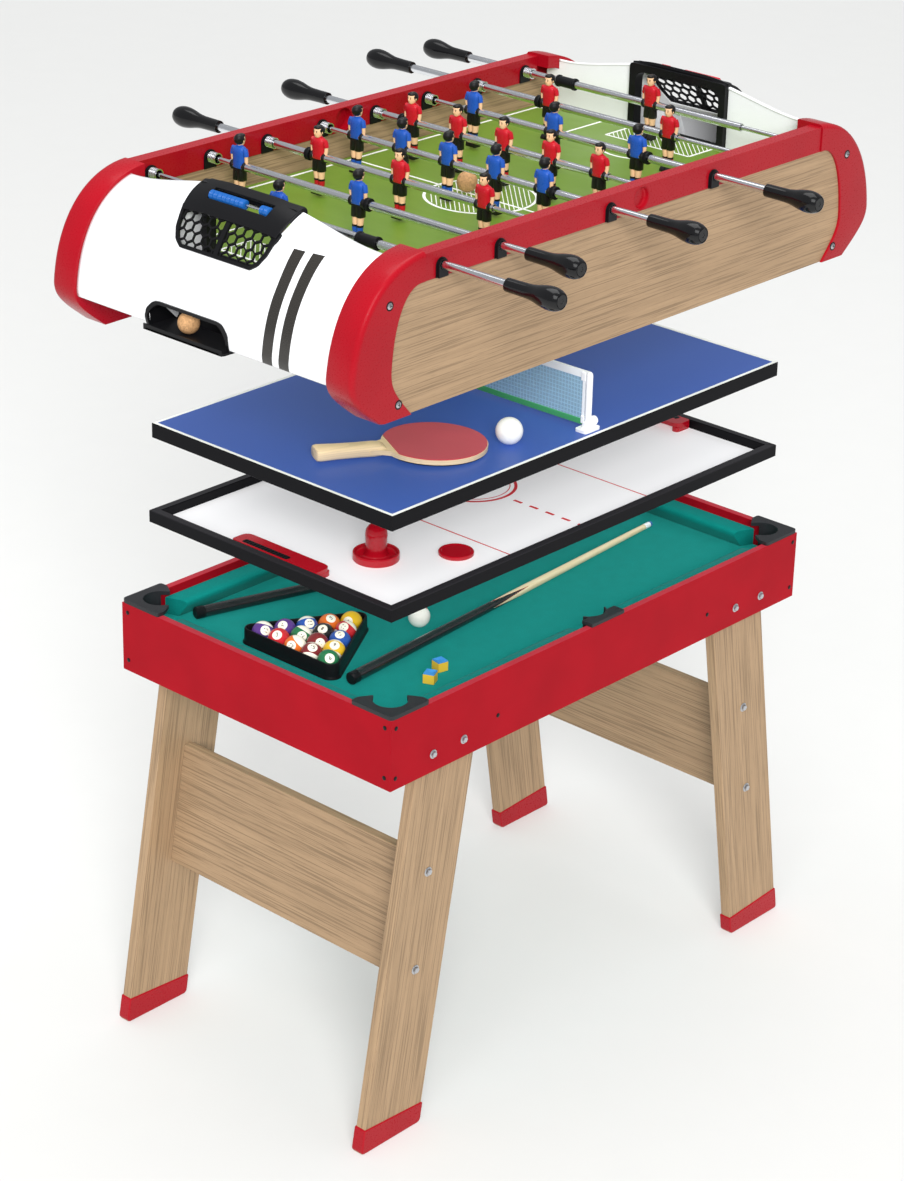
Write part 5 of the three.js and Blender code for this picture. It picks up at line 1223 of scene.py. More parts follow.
class GAMES_OT_puck_game(bpy.types.Operator):
    """Builds the puck game's frame, printed board, goals, pusher and puck"""

    bl_idname = "games.puck_game"
    bl_label = "Puck game"

    def execute(self, context):
        look = context.scene.table_look
        add = partial(piece, "hockey_level")
        rim = frame_skin(
            RIM_X, RIM_Y,
            [
                (0, RINK_UNDER), (0, RIM_TOP - 1), (1, RIM_TOP), (RIM_WIDTH - 1, RIM_TOP),
                (RIM_WIDTH, RIM_TOP - 1), (RIM_WIDTH, RINK_UNDER)],
            closed=True)
        # The rim's chamfer and top take the dark grey: painted light where the light falls on them
        rim.paint[4:12] = 1
        mitre = [(-RIM_X + 0.8, -RIM_Y + 0.8), (-RIM_X + 12.4, -RIM_Y + 12.4)]
        mitres = four_corners(stroke(mitre, 0.5, RIM_TOP, 0.06))
        add(
            "rink_frame", rim + mitres.painted(2), "black_edge_foil rim_foil_grey dark_recess",
            "hockey_rim", smooth=25)
        half_x, half_y = RIM_X - RIM_WIDTH - GAP, RIM_Y - RIM_WIDTH - GAP
        board = block((-half_x, half_x), (-half_y, half_y), (RINK_UNDER, RINK_TOP))
        z = RINK_TOP - SUNK
        lines = [flat_ring(radius, width, z) for radius, width in RINGS]
        dashes = [stroke([(0, y), (0, y + DASH_LONG)], PRINT_WIDE, z) for y in np.arange(*DASHES)]
        lines += dashes + [mirrored(dash, 1, -1) for dash in dashes]
        for x in (-ZONE_X, ZONE_X):
            lines.append(stroke([(x, -half_y), (x, half_y)], ZONE_WIDE, z))
        lines.append(printed_dot(z))
        add("rink_board", board, "white_melamine", "hockey_board", edge=0.3)
        add("rink_lines", joined(lines), "printed_red")
        near, far, half, low, high = PUCK_GOAL
        for end, side in SIDES.items():
            corner = [14, 14, 5, 5]
            outline = rounded([(-near, half), (-near, -half), (-far, -half), (-far, half)], corner)
            upper = slab(outline, low + 7.4, high)
            back = block((-far, -far + 10), (10 - half, half - 10), (low, low + 7.6))
            foot = rounded(
                [(-near, -half + 12), (-near, -half), (-far, -half), (-far, -half + 12)],
                [3, 12, 4, 2])
            foot = slab(foot, low, low + 7.6)
            inset = slab(
                rounded([(-far + 14, 68), (-far + 14, -24), (-far + 3, -24), (-far + 3, 68)], 4),
                high - 0.6, high + 0.3).painted(1)
            ribs = joined(
                plate((-far + 4, -far + 13), (y - 0.8, y + 0.8), (high, high + 0.9), 0.6)
                for y in np.linspace(-20, 64, 15)).painted(1)
            goal = joined([upper, back, foot, mirrored(foot, 1, -1), inset, ribs])
            add(
                f"puck_goal_{end}", goal if side < 0 else goal.turned("Z", 180),
                "polished_abs_red moulded_abs_black", f"hockey_goal_{end}", edge=look.moulded_edge)
        z = RINK_TOP + GAP
        profile = [(0, 3), (28, 3), (28, 0), (31, 0), (33.8, 1.6), (34.3, 5), (33.8, 11.6)]
        profile += [(32.8, 12.9), (31.4, 12.2), (30.4, 8), (28, 5.6), (22, 5.4), (17.8, 7.6)]
        profile += [(16.2, 12), (15.6, 22), (15.9, 32), (16.4, 39), (15.6, 45.5)]
        profile += [(12.6, 51), (8, 54.6), (3.5, 55.8), (0, 55.9)]
        add(
            "pusher_mallet", lathe(smooth_profile(profile), 64).moved(*PUSHER_AT, z),
            "polished_abs_red", "pusher", smooth=60)
        profile = [(0, 0.8), (20, 0.8), (21, 0), (24.8, 0), (26, 1.2), (26, 4.8)]
        profile += [(24.8, 6), (21.5, 6), (20.6, 5.2), (0, 5.2)]
        add("red_puck", lathe(profile, 56).moved(*PUCK_AT, z), "polished_abs_red", "puck")
        return {"FINISHED"}


def smooth_profile(points, steps=4):
    """A Catmull-Rom curve through the profile's points: between two points it follows
    the cubic whose slopes are half the difference of their neighbours."""
    points = numbers(points)
    wide = np.vstack([points[:1], points, points[-1:]])
    share = (np.arange(steps) / steps)[None, :, None]
    a, b, c, d = (wide[i : len(wide) - 3 + i][:, None] for i in range(4))
    curve = (
        2 * b + (c - a) * share + (2 * a - 5 * b + 4 * c - d) * share**2 + (3 * b - a - 3 * c + d)
        * share**3) / 2
    return np.vstack([curve.reshape(-1, 2), points[-1:]])


# Table tennis


class GAMES_OT_table_tennis(bpy.types.Operator):
    """Builds the table tennis board, net, bat and ball"""

    bl_idname = "games.table_tennis"
    bl_label = "Table tennis"

    def execute(self, context):
        add = partial(piece, "tennis_level")
        top = TENNIS_TOP
        board = frame_skin(
            TENNIS_X, TENNIS_Y,
            [(0.6, TENNIS_UNDER), (0, TENNIS_UNDER + 0.6), (0, top - 0.8), (0.5, top), (6, top)])
        board.paint[:12] = 2
        board.paint[12:16] = 1
        board.paint[16] = 2
        add(
            "tennis_top", board, "blue_melamine printed_white black_edge_foil", "tennis_board",
            smooth=25)
        self.net(add)
        self.bat(add)
        ball = sphere(TENNIS_BALL_R, 56, 28)
        seam = flat_ring(TENNIS_BALL_R - 0.04, 0.25, -0.12, 0.24)
        ball = (ball + seam).turned("X", 52).turned("Z", 20)
        add(
            "tennis_ball_white", ball.moved(*TENNIS_BALL_AT, top + TENNIS_BALL_R + GAP),
            "celluloid_white", "tennis_ball")
        return {"FINISHED"}

    def net(self, add):
        """The cloth is a plane square to X, waved by the sine of its place along the
        net; bands fold over its edges, and clamps hold it to round posts."""
        low, high = TENNIS_TOP + 6.3, NET_TOP
        y = np.linspace(-NET_Y + 4, NET_Y - 4, 89)
        z = np.linspace(low + 1, high - 1, 13)
        middle = (z[:, None] - low) / (high - low)
        wave = 1.2 * np.sin(y / 34)[None, :] * np.sin(np.pi * middle)
        grid = np.stack(
            [wave, np.broadcast_to(y, wave.shape), np.broadcast_to(z[:, None], wave.shape)],
            axis=-1)
        cloth = add("net_cloth", open_skin(grid), "knitted_net", closed=False, wall=0.3)

        def band(bottom, top, half, reach):
            """A folded tape whose upper edge sags by a parabola between the posts."""
            span = np.linspace(-reach, reach, 61)
            sag = 1.6 * (1 - (span / reach) ** 2)
            ring = rounded([(-half, bottom), (half, bottom), (half, top), (-half, top)], 1)
            across, up = ring.T
            rings = []
            for place, drop in zip(span, sag):
                rings.append(np.column_stack([across, np.full(len(ring), place), up - drop]))
            return ring_skin(rings)

        tapes = joined(
            [
                band(high - 12, high, 1.8, NET_Y).painted(0),
                band(low, low + 9, 1.1, NET_Y - 5).painted(1),
                plate((-1.4, 1.4), (-NET_Y + 4, -NET_Y + 12), (low + 6, high - 6), 1),
                plate((-1.4, 1.4), (NET_Y - 12, NET_Y - 4), (low + 6, high - 6), 1)])
        tape = add("net_tapes", tapes, "woven_tape_white woven_tape_green")
        floor = TENNIS_TOP + GAP
        post = lathe(
            [
                (0, 0), (6.5, 0), (6.5, 3), (5.2, 4.5), (5, 8), (5, 84), (4.4, 87), (2.5, 89.4),
                (0, 90)],
            32)
        foot = slab(rounded([(-17, -11), (17, -11), (17, 11), (-17, 11)], 5), 0, 5)
        lug = plate((-9, 9), (-4, 4), (5, 14), 2)
        clip = plate((-3.2, 3.2), (5, 14), (74, 87), 1.5)
        clip_low = plate((-3.2, 3.2), (5, 12), (9, 20), 1.5)
        wheel = lathe([(0, -4), (6, -4), (7, -3), (7, 3), (6, 4), (0, 4)], 20)
        wheel = wheel.turned("Y", 90).moved(12, 0, 12)
        stand = joined([post, foot, lug, clip, clip_low, wheel]).moved(0, -NET_Y, floor)
        add("net_posts", stand + stand.scaled(y=-1), "moulded_abs_white", "net", edge=0.5)

    def bat(self, add):
        """The blade's outline is an ellipse that runs into a neck by smoothsteps; the
        rubber covers it as far as a straight line; the handle is a loft of ovals."""
        length, head, half = 256, 154, 74
        middle = length - head / 2
        neck, neck_start, rubber_start = 15, 78, 112
        wood_face, rubber_face, grip = 3.4, 5, 10
        share = np.linspace(0, 1, 70)
        x = neck_start + (length - neck_start) * (1 - np.cos(np.pi * share)) / 2
        round_part = half * np.sqrt(np.clip(1 - ((x - middle) / (head / 2)) ** 2, 0, 1))
        flare = neck + 10 * smoothstep(x, 84, rubber_start)
        width = np.where(x < middle, np.maximum(round_part, flare), round_part)
        width[-1] = 0
        outline = np.vstack([np.column_stack([x, -width]), np.column_stack([x, width])[::-1][1:]])
        wood = slab(outline, -wood_face, wood_face)
        covered = outline[outline[:, 0] > rubber_start]
        centre = np.array([middle, 0])
        covered = centre + (covered - centre) * 0.985
        upper = slab(covered, wood_face, rubber_face).painted(1)
        lower = slab(covered, -rubber_face, -wood_face).painted(2)
        levels = [
            (0, 0, 0, 7.5, 14, 3.2), (1.5, 0, 0, 9.2, 16, 3.2), (6, 0, 0, 10, 16.6, 3.2),
            (30, 0, 0, 9.6, 14.6, 3), (62, 0, 0, 9.4, 13.6, 3), (86, 0, 0, 9.6, 14.4, 3),
            (96, 0, 0, 8.6, 14.6, 3), (103, 0, 0, 5.2, 14.4, 3), (104, 0, 0, 3.2, 14, 3)]
        handle = ovals(levels, 36).turned("Y", 90)
        whole = joined([wood, upper, lower, handle])
        tilt = math.asin(rubber_face / head)
        knee = (length - head) * math.sin(tilt) + grip * math.cos(tilt)
        whole = whole.turned("Y", math.degrees(tilt)).turned("Z", BAT_TURN)
        add(
            "table_tennis_bat", whole.moved(*BAT_AT, TENNIS_TOP + GAP + knee),
            "layered_ply pimple_rubber_red black_edge_foil", "bat", edge=0.5, smooth=40)


# Football module: the bulging ends

TOP_PULL, SIDE_PULL = (0.58, 0.03), (0.94, 0.43)
UNDER_PULL, HEEL_PULL = (0, 0.33), (0.26, 0.52)


def cubic(first, first_pull, last_pull, last, steps):
    """Points of the cubic between two points; its handles are shares of the way from
    the first to the last, each axis by itself."""
    first, last = numbers(first), numbers(last)
    near, far = first + (last - first) * first_pull, first + (last - first) * last_pull
    t = np.linspace(0, 1, steps)[:, None]
    rest = 1 - t
    return (first * rest**3 + 3 * near * rest**2 * t + 3 * far * rest * t**2 + last * t**3)


def bulging(top, widest, bottom_x, steps=24):
    """The left end's outline in X and Z: one cubic out to the widest point, where it
    stands upright, and one from there down to the case's bottom."""
    upper = cubic(top, TOP_PULL, SIDE_PULL, widest, steps)
    lower = cubic(widest, UNDER_PULL, HEEL_PULL, (bottom_x, CASE_BOTTOM), steps)
    return np.vstack([upper, lower[1:]]) * [-1, 1]


def bulge(inset, steps=24):
    return bulging((430, CAP_TOP - inset), (REACH_X - inset, REACH_Z), HEEL_X - inset, steps)


def band_edge(steps=24):
    """A corner cap's inner edge: across the rail's end, then beside the wood."""
    upper = cubic((440, RAIL_BOTTOM), TOP_PULL, SIDE_PULL, (491, REACH_Z), steps - 4)
    start = np.linspace((430, RAIL_BOTTOM), (440, RAIL_BOTTOM), 5)[:-1]
    lower = cubic((491, REACH_Z), UNDER_PULL, HEEL_PULL, (452, CASE_BOTTOM), steps)
    return np.vstack([start, upper, lower[1:]]) * [-1, 1]


def corner_cap():
    """The front left cap: at each point along the outline, a closed section that runs
    from the band's edge over the rounded outer corner to the inner side."""
    edge, outer = band_edge(), bulge(CAP_ROUND)
    y = -CAP_OUTER
    flange_back = -SIDE_OUTER - GAP
    rim = edge + (outer - edge) * 0.02
    section = [(edge, flange_back), (edge, y + 1), (rim, y + 0.1), (rim, y)]
    section.append((outer, y))
    for angle in np.radians([15, 30, 45, 60, 75, 90]):
        inset = CAP_ROUND * (1 - math.sin(angle))
        section.append((bulge(inset), y + CAP_ROUND * (1 - math.cos(angle))))
    section += [(bulge(0), -CAP_INNER - 1), (bulge(0.3), -CAP_INNER - GAP)]
    section += [(bulge(1), -CAP_INNER), (bulge(20), -CAP_INNER)]
    section.append((bulge(20), flange_back))
    rings = np.stack(
        [np.column_stack([xz[:, 0], np.full(len(xz), y), xz[:, 1]]) for xz, y in section], axis=1)
    start = WALL_X + WALL_THICK + GAP
    inner = bulge(10)
    inner = inner[-inner[:, 0] > start]
    plate_outline = np.vstack([inner, [(-start, CASE_BOTTOM)]])
    side = slab(plate_outline, -CAP_INNER - 4, -CAP_INNER - GAP, axis="Y")
    return ring_skin(rings) + side


def rise_at(y):
    """The shell's edge is higher along the goal and dies away towards the caps."""
    return RISE * (1 - smoothstep(np.abs(y), *RISE_ENDS))


def lifted(x, y, z):
    """Points of the outline raised by the rise, the more the higher they lie."""
    z = z + rise_at(y) * smoothstep(z, RISE_FROM, CAP_TOP)
    return np.stack(np.broadcast_arrays(x, y, z), axis=-1)


def height_at(outline, reach):
    """The height of an outline's upper part at a distance from the middle."""
    upper = outline[: len(outline) // 2 + 1]
    return float(np.interp(reach, -upper[:, 0], upper[:, 1]))


def housing_half(z):
    """Half width of the goal housing at a height: it narrows downwards."""
    return np.interp(z, HOUSING_Z, HOUSING_HALF)


def skin_columns(recess, y, top, bottom, count=46):
    """Columns of points down the end's outline: for each y the outline is followed
    between two heights, or from the ridge over the end wall where top is infinite."""
    dense = bulge(recess, FINE)
    share = np.arange(len(dense), dtype=float)
    columns = []
    for place, high, low in zip(y, top, bottom):
        height = lifted(dense[:, 0], place, dense[:, 1])[:, 2]
        if math.isinf(high):
            start = np.interp(WALL_X, -dense[:FINE, 0], share[:FINE])
        else:
            start = np.interp(-high, -height, share)
        stop = np.interp(-low, -height, share)
        at = np.linspace(start, stop, count)
        x, z = (np.interp(at, share, dense[:, k]) for k in (0, 1))
        columns.append(lifted(x, place, z))
    return np.stack(columns, axis=1)


def tray_mouth_height(y):
    """The shell's lower edge: along its bottom, or over the tray's slanted mouth."""
    away = np.abs(y - TRAY_MIDDLE)
    corner = TRAY_TOP - np.clip(away - (TRAY_HALF - 16), 0, 16)
    return np.where(away < TRAY_HALF, corner, CASE_BOTTOM + 54)


def end_shell():
    """The white skin, its columns starting under the goal housing and ending over the
    tray, then the upright end wall with the goal's opening."""
    edge = CAP_INNER - GAP
    special = [s * k for s in (1, -1) for k in (HOUSING_HOLE, 90, 84, 77, 70)]
    special += [TRAY_MIDDLE + s * k for s in (-1, 1) for k in (79.02, 78.98, 71, 63)]
    y = np.unique(np.concatenate([np.linspace(-edge, edge, 90), special]))
    inside = np.abs(y) < 94.3
    top = np.where(inside, np.interp(np.abs(y), HOUSING_HALF, HOUSING_Z), np.inf)
    skin = skin_columns(5, y, top, tray_mouth_height(y))
    wall_y = np.linspace(HOUSING_HOLE, edge, 24)
    ridge = height_at(bulge(6, 60), WALL_X) + rise_at(wall_y)
    low = height_at(bulge(20.5, 60), WALL_X + 4)
    side = np.column_stack([wall_y, ridge])
    right = np.vstack([[(HOUSING_HOLE, PITCH_TOP)], side, [(edge, low), (WALL_HALF, low)]])
    left = (right * [-1, 1])[::-1]
    base = [(WALL_HALF, WALL_FOOT), (-WALL_HALF, WALL_FOOT)]
    outline = np.vstack([right, base, left])
    wall = slab(outline, -WALL_X - WALL_THICK, -WALL_X, axis="X")
    cheek = bulge(10, 40)
    cheek = cheek[(cheek[:, 0] < -WALL_X - 3) & (cheek[:, 1] > TRAY_TOP + 4)]
    cheek[:, 1] += rise_at(GOAL_HALF) * smoothstep(cheek[:, 1], RISE_FROM, CAP_TOP)
    start = -WALL_X - WALL_THICK + 0.5
    foot = [(-WALL_X - 58, TRAY_FLOOR + 4), (start, PITCH_TOP + 1), (start, CAP_TOP + 6)]
    cheek = slab(np.vstack([cheek, foot]), GOAL_HALF - 2.5, GOAL_HALF, axis="Y")
    return open_skin(skin), joined([wall, cheek, cheek.scaled(y=-1)])


def hood_skin():
    """The housing's black hood over the goal, with the score slot left open."""
    dense = bulge(1, FINE)
    share = np.arange(len(dense), dtype=float)
    height = lifted(dense[:, 0], 0, dense[:, 1])[:, 2]
    marks = [WALL_X, SLOT_X - SLOT_SIDE, SLOT_X + SLOT_SIDE]
    marks = [np.interp(m, -dense[:FINE, 0], share[:FINE]) for m in marks]
    marks.append(np.interp(-HOOD_FOOT, -height, share))
    rows = np.concatenate(
        [
            np.linspace(marks[0], marks[1], 7)[:-1], np.linspace(marks[1], marks[2], 7)[:-1],
            np.linspace(marks[2], marks[3], 16)])
    x, z = (np.interp(rows, share, dense[:, k]) for k in (0, 1))
    raised = np.interp(rows, share, height)
    edge = SLOT_HALF / GOAL_HALF
    side = np.concatenate([np.linspace(edge, 1, 9), np.linspace(0, edge, 12)[:-1]])
    side = np.unique(np.concatenate([-side, side]))
    columns = housing_half(raised)[:, None] * side
    grid = lifted(x[:, None], columns, z[:, None])
    cell_x = (x[:-1] + x[1:]) / 2
    cell_side = (side[:-1] + side[1:]) / 2
    open_cell = (np.abs(cell_x + SLOT_X) < SLOT_SIDE)[:, None] & (np.abs(cell_side) < edge)
    return open_skin(grid, keep=~open_cell)


NET_LENGTH = 62.0


def on_net(y, down, out=0.0):
    """A point on the goal's net: so far across, so far down the outline from under the
    hood, and so far out from it along the outline's normal."""
    dense = bulge(5, FINE)
    step = np.linalg.norm(np.diff(dense, axis=0), axis=1)
    run = np.concatenate([[0], np.cumsum(step)])
    height = lifted(dense[:, 0], 0, dense[:, 1])[:, 2]
    start = np.interp(-GOAL_NET_TOP, -height, run)
    stop = np.interp(-GOAL_NET_FOOT, -height, run)
    at = start + (stop - start) * np.asarray(down) / NET_LENGTH
    x, z = (np.interp(at, run, dense[:, k]) for k in (0, 1))
    slope = np.gradient(dense, run, axis=0)
    slope_x, slope_z = (np.interp(at, run, slope[:, k]) for k in (0, 1))
    return lifted(x + slope_z * out, np.asarray(y), z - slope_x * out)


def net_half(down):
    """Half width of the net at a distance down it."""
    share = np.asarray(down) / NET_LENGTH
    return np.interp(share, [0, 0.12, 0.6, 0.86, 1], [92, 90, 84.5, 77, 66])


def net_bar(path, width, thick=3.2):
    """A flat bar along a path on the net: four corners round each of its points."""
    path = numbers(path)
    ahead = np.gradient(path, axis=0)
    ahead /= np.linalg.norm(ahead, axis=1, keepdims=True)
    side = np.column_stack([-ahead[:, 1], ahead[:, 0]]) * width / 2
    corners = [(side, thick / 2), (-side, thick / 2), (-side, -thick / 2), (side, -thick / 2)]
    rings = [on_net((path + s)[:, 0], (path + s)[:, 1], out) for s, out in corners]
    return ring_skin(np.stack(rings, axis=1))


def hexagon_net():
    """Hexagon cells in staggered rows; each is a ring between its own hexagon and a
    smaller one, front and back, clamped to the net's border; then border and rib."""
    pitch, web = 16.5, 2.6
    row_step = pitch * math.sqrt(3) / 2
    angle = np.radians(np.arange(6) * 60 + 30)
    unit = np.stack([np.cos(angle), np.sin(angle)], -1)
    outer, inner = unit * pitch / math.sqrt(3), unit * (pitch - web) / math.sqrt(3)
    cells = []
    for row in range(-1, 6):
        for column in range(-7, 8):
            middle = np.array([(column + (row % 2) / 2) * pitch, 2 + row * row_step])
            near_y = abs(middle[0]) < net_half(np.clip(middle[1], 0, NET_LENGTH)) + 3
            if not (near_y and -5 < middle[1] < NET_LENGTH + 4):
                continue
            rings = []
            for shape, out in ((outer, 1), (inner, 1), (inner, -1), (outer, -1)):
                flat = middle + shape
                down = np.clip(flat[:, 1], 0, NET_LENGTH)
                half = net_half(down)
                rings.append(on_net(np.clip(flat[:, 0], -half, half), down, out))
            cells.append(ring_skin(rings, caps=False))
    down = np.linspace(0, NET_LENGTH, 26)
    half = net_half(down)
    border = np.vstack(
        [
            np.column_stack([-half, down]),
            np.column_stack([np.linspace(-62, 62, 24), np.full(24, NET_LENGTH)]),
            np.column_stack([half, down])[::-1]])
    bars = [net_bar(border, 5.4, 4.2)]
    bars.append(net_bar(np.column_stack([np.zeros(26), down]), 8, 3.6))
    return joined(cells), joined(bars)


def goal_arch():
    """The black frame of the goal on the pitch: two posts under a rounded bar."""
    top = height_at(bulge(1, 60), WALL_X) + float(rise_at(94)) - 1
    half, inner, opening = GOAL_HALF, GOAL_HALF - 12, top - 12
    low = PITCH_TOP + GAP
    outer = rounded([(-half, low), (-half, top), (half, top), (half, low)], [0.1, 7, 7, 0.1])
    mouth = rounded(
        [(inner, low), (inner, opening), (-inner, opening), (-inner, low)], [0.1, 18, 18, 0.1])
    return slab(np.vstack([outer, mouth]), -WALL_X - 10, -WALL_X + 8, axis="X")


def ball_tray():
    """The chute from the goal line, the tray's floor, lip and cheeks, and a trim round
    its mouth that follows the shell."""
    top_x, reach = -WALL_X - WALL_THICK - GAP, WALL_X + WALL_THICK + 52
    floor, thick = TRAY_FLOOR, 3
    y0, y1 = TRAY_MIDDLE - TRAY_HALF, TRAY_MIDDLE + TRAY_HALF
    section = [
        (top_x, PITCH_TOP - GAP), (top_x, PITCH_TOP + thick), (top_x - thick, PITCH_TOP + thick),
        (-reach - thick, floor + thick), (-reach - thick, floor), (-reach, floor)]
    chute = slab(section, -GOAL_HALF, y1, axis="Y")
    front = -REACH_X - 4
    base = plate((front, -reach), (y0 + GAP, y1 - GAP), (floor, floor + thick), [7, 0.1, 0.1, 7])
    lip = plate((front, front + 2.4), (y0 + 2, y1 - 2), (floor, floor + 8), 1)
    cheek = [
        (top_x - thick, PITCH_TOP - GAP), (-reach - thick, floor), (-REACH_X + 12, floor),
        (-REACH_X + 10, TRAY_TOP)]
    cheeks = slab(cheek, y0, y0 + thick, axis="Y") + slab(cheek, y1 - thick, y1, axis="Y")
    low = CASE_BOTTOM + 50
    path = rounded(
        [
            (y0, low), (y0, TRAY_TOP - 16), (y0 + 16, TRAY_TOP), (y1 - 16, TRAY_TOP),
            (y1, TRAY_TOP - 16), (y1, low)],
        [0.1, 9, 9, 9, 9, 0.1], steps=7)
    y, z = path.T
    dense = bulge(5, 120)
    surface_x = np.interp(-z, -dense[:, 1], dense[:, 0])
    rings = []
    for grow, out in ((2.4, 1.6), (-2.2, 1.6), (-2.2, -10), (2.4, -10)):
        spread_y = y + np.sign(y - TRAY_MIDDLE) * grow * (np.abs(y - TRAY_MIDDLE) > TRAY_HALF - 20)
        spread_z = z + grow * (z > TRAY_TOP - 17)
        rings.append(np.column_stack([surface_x - out, spread_y, spread_z]))
    trim = ring_skin(np.stack(rings, axis=1))
    return joined([chute, base, lip, cheeks, trim])


def beads(count, bore):
    """Ribbed beads side by side along Y: a rib's radius is 6.3 plus 0.65 times the
    cosine of its place, three ribs to a bead with a groove a third deep between beads."""
    width = BEAD_WIDTH
    share = np.linspace(0, 1, 19)
    rib = 6.3 + 0.65 * np.cos(2 * np.pi * (3 * share - 0.5))
    rib *= np.clip(np.minimum(share, 1 - share) * 9, 0, 1) * 0.34 + 0.66
    rows = [(bore, 0)]
    for bead in range(count):
        rows += [(r, (bead + s) * width) for r, s in zip(rib, share)]
    rows.append((bore, count * width))
    return lathe(rows, 28, closed=True).turned("X", -90)


def end_for(surface, side):
    """The left end's piece, turned half round for the right end."""
    return surface if side < 0 else surface.turned("Z", 180)


def bush(inside):
    """A black arch round a rod on a rail's face, made at the front towards -Y."""
    half, top = 10 if inside else 9, BUSH_TOP
    arch = np.vstack(
        [[(-half, RAIL_BOTTOM + GAP), (half, RAIL_BOTTOM + GAP)], arc((0, top), half, 0, 180, 20)])
    wide = np.vstack(
        [
            [(-half - 1.6, RAIL_BOTTOM + GAP), (half + 1.6, RAIL_BOTTOM + GAP)],
            arc((0, top), half + 1.6, 0, 180, 20)])
    hole = [circle((0, ROD_Z), ROD_R + 0.6, 28)]
    if inside:
        return slab(wide, -RAIL_INNER - 0.4, -RAIL_INNER + 2.4, axis="Y", holes=hole)
    body = slab(arch, -RAIL_OUTER - 5, -RAIL_OUTER + 4, axis="Y", holes=hole)
    return body + slab(wide, -RAIL_OUTER - 1.6, -RAIL_OUTER + 0.4, axis="Y", holes=hole)


def sprung_collar():
    """A spring on the inner face of a rail: the radius swings as the cosine of the
    place along it, five turns in 18 mm, between two washers."""
    place = np.linspace(0.8, 17.2, 61)
    coil = 7.5 + 0.7 * np.cos((place - 0.8) / 16.4 * 2 * np.pi * 5)
    rows = [(6.7, 0), (9.0, 0), (9.0, 0.8)]
    rows += list(zip(coil, place))
    rows += [(8.4, 17.2), (8.4, 18), (6.7, 18)]
    return lathe(rows, 32, closed=True).turned("X", -90)


def rod_measures(rod):
    """What one rod measures along itself, with its handle towards +Y."""
    men, side, spacing, shift, gap = rod
    keeper = men == 1
    half_span = (men - 1) * spacing / 2
    ring_near = 151.02 if keeper else half_span + 15.3
    ring_far = ring_near + (36 if keeper else 8)
    travel = RAIL_INNER - 18 - ring_far - 0.3
    tail = 176.04 if keeper else half_span + 18
    places = [side * shift + (man - (men - 1) / 2) * spacing for man in range(men)]
    return {
        "side": side, "keeper": keeper,
        "ring": (side * shift + ring_near, side * shift + ring_far),
        "inner_end": side * shift - tail, "bore": 2 * travel + 33,
        "inner_tip": tail - travel - (7 if men == 5 else 15), "handle": RAIL_OUTER + gap,
        "places": places}


def placed(surface, index, side):
    """A rod's piece made along +Y, turned to its handle's side and set in its row."""
    turned = surface.turned("Z", 180) if side < 0 else surface
    return turned.moved((index - 3.5) * ROD_PITCH, 0, ROD_Z)


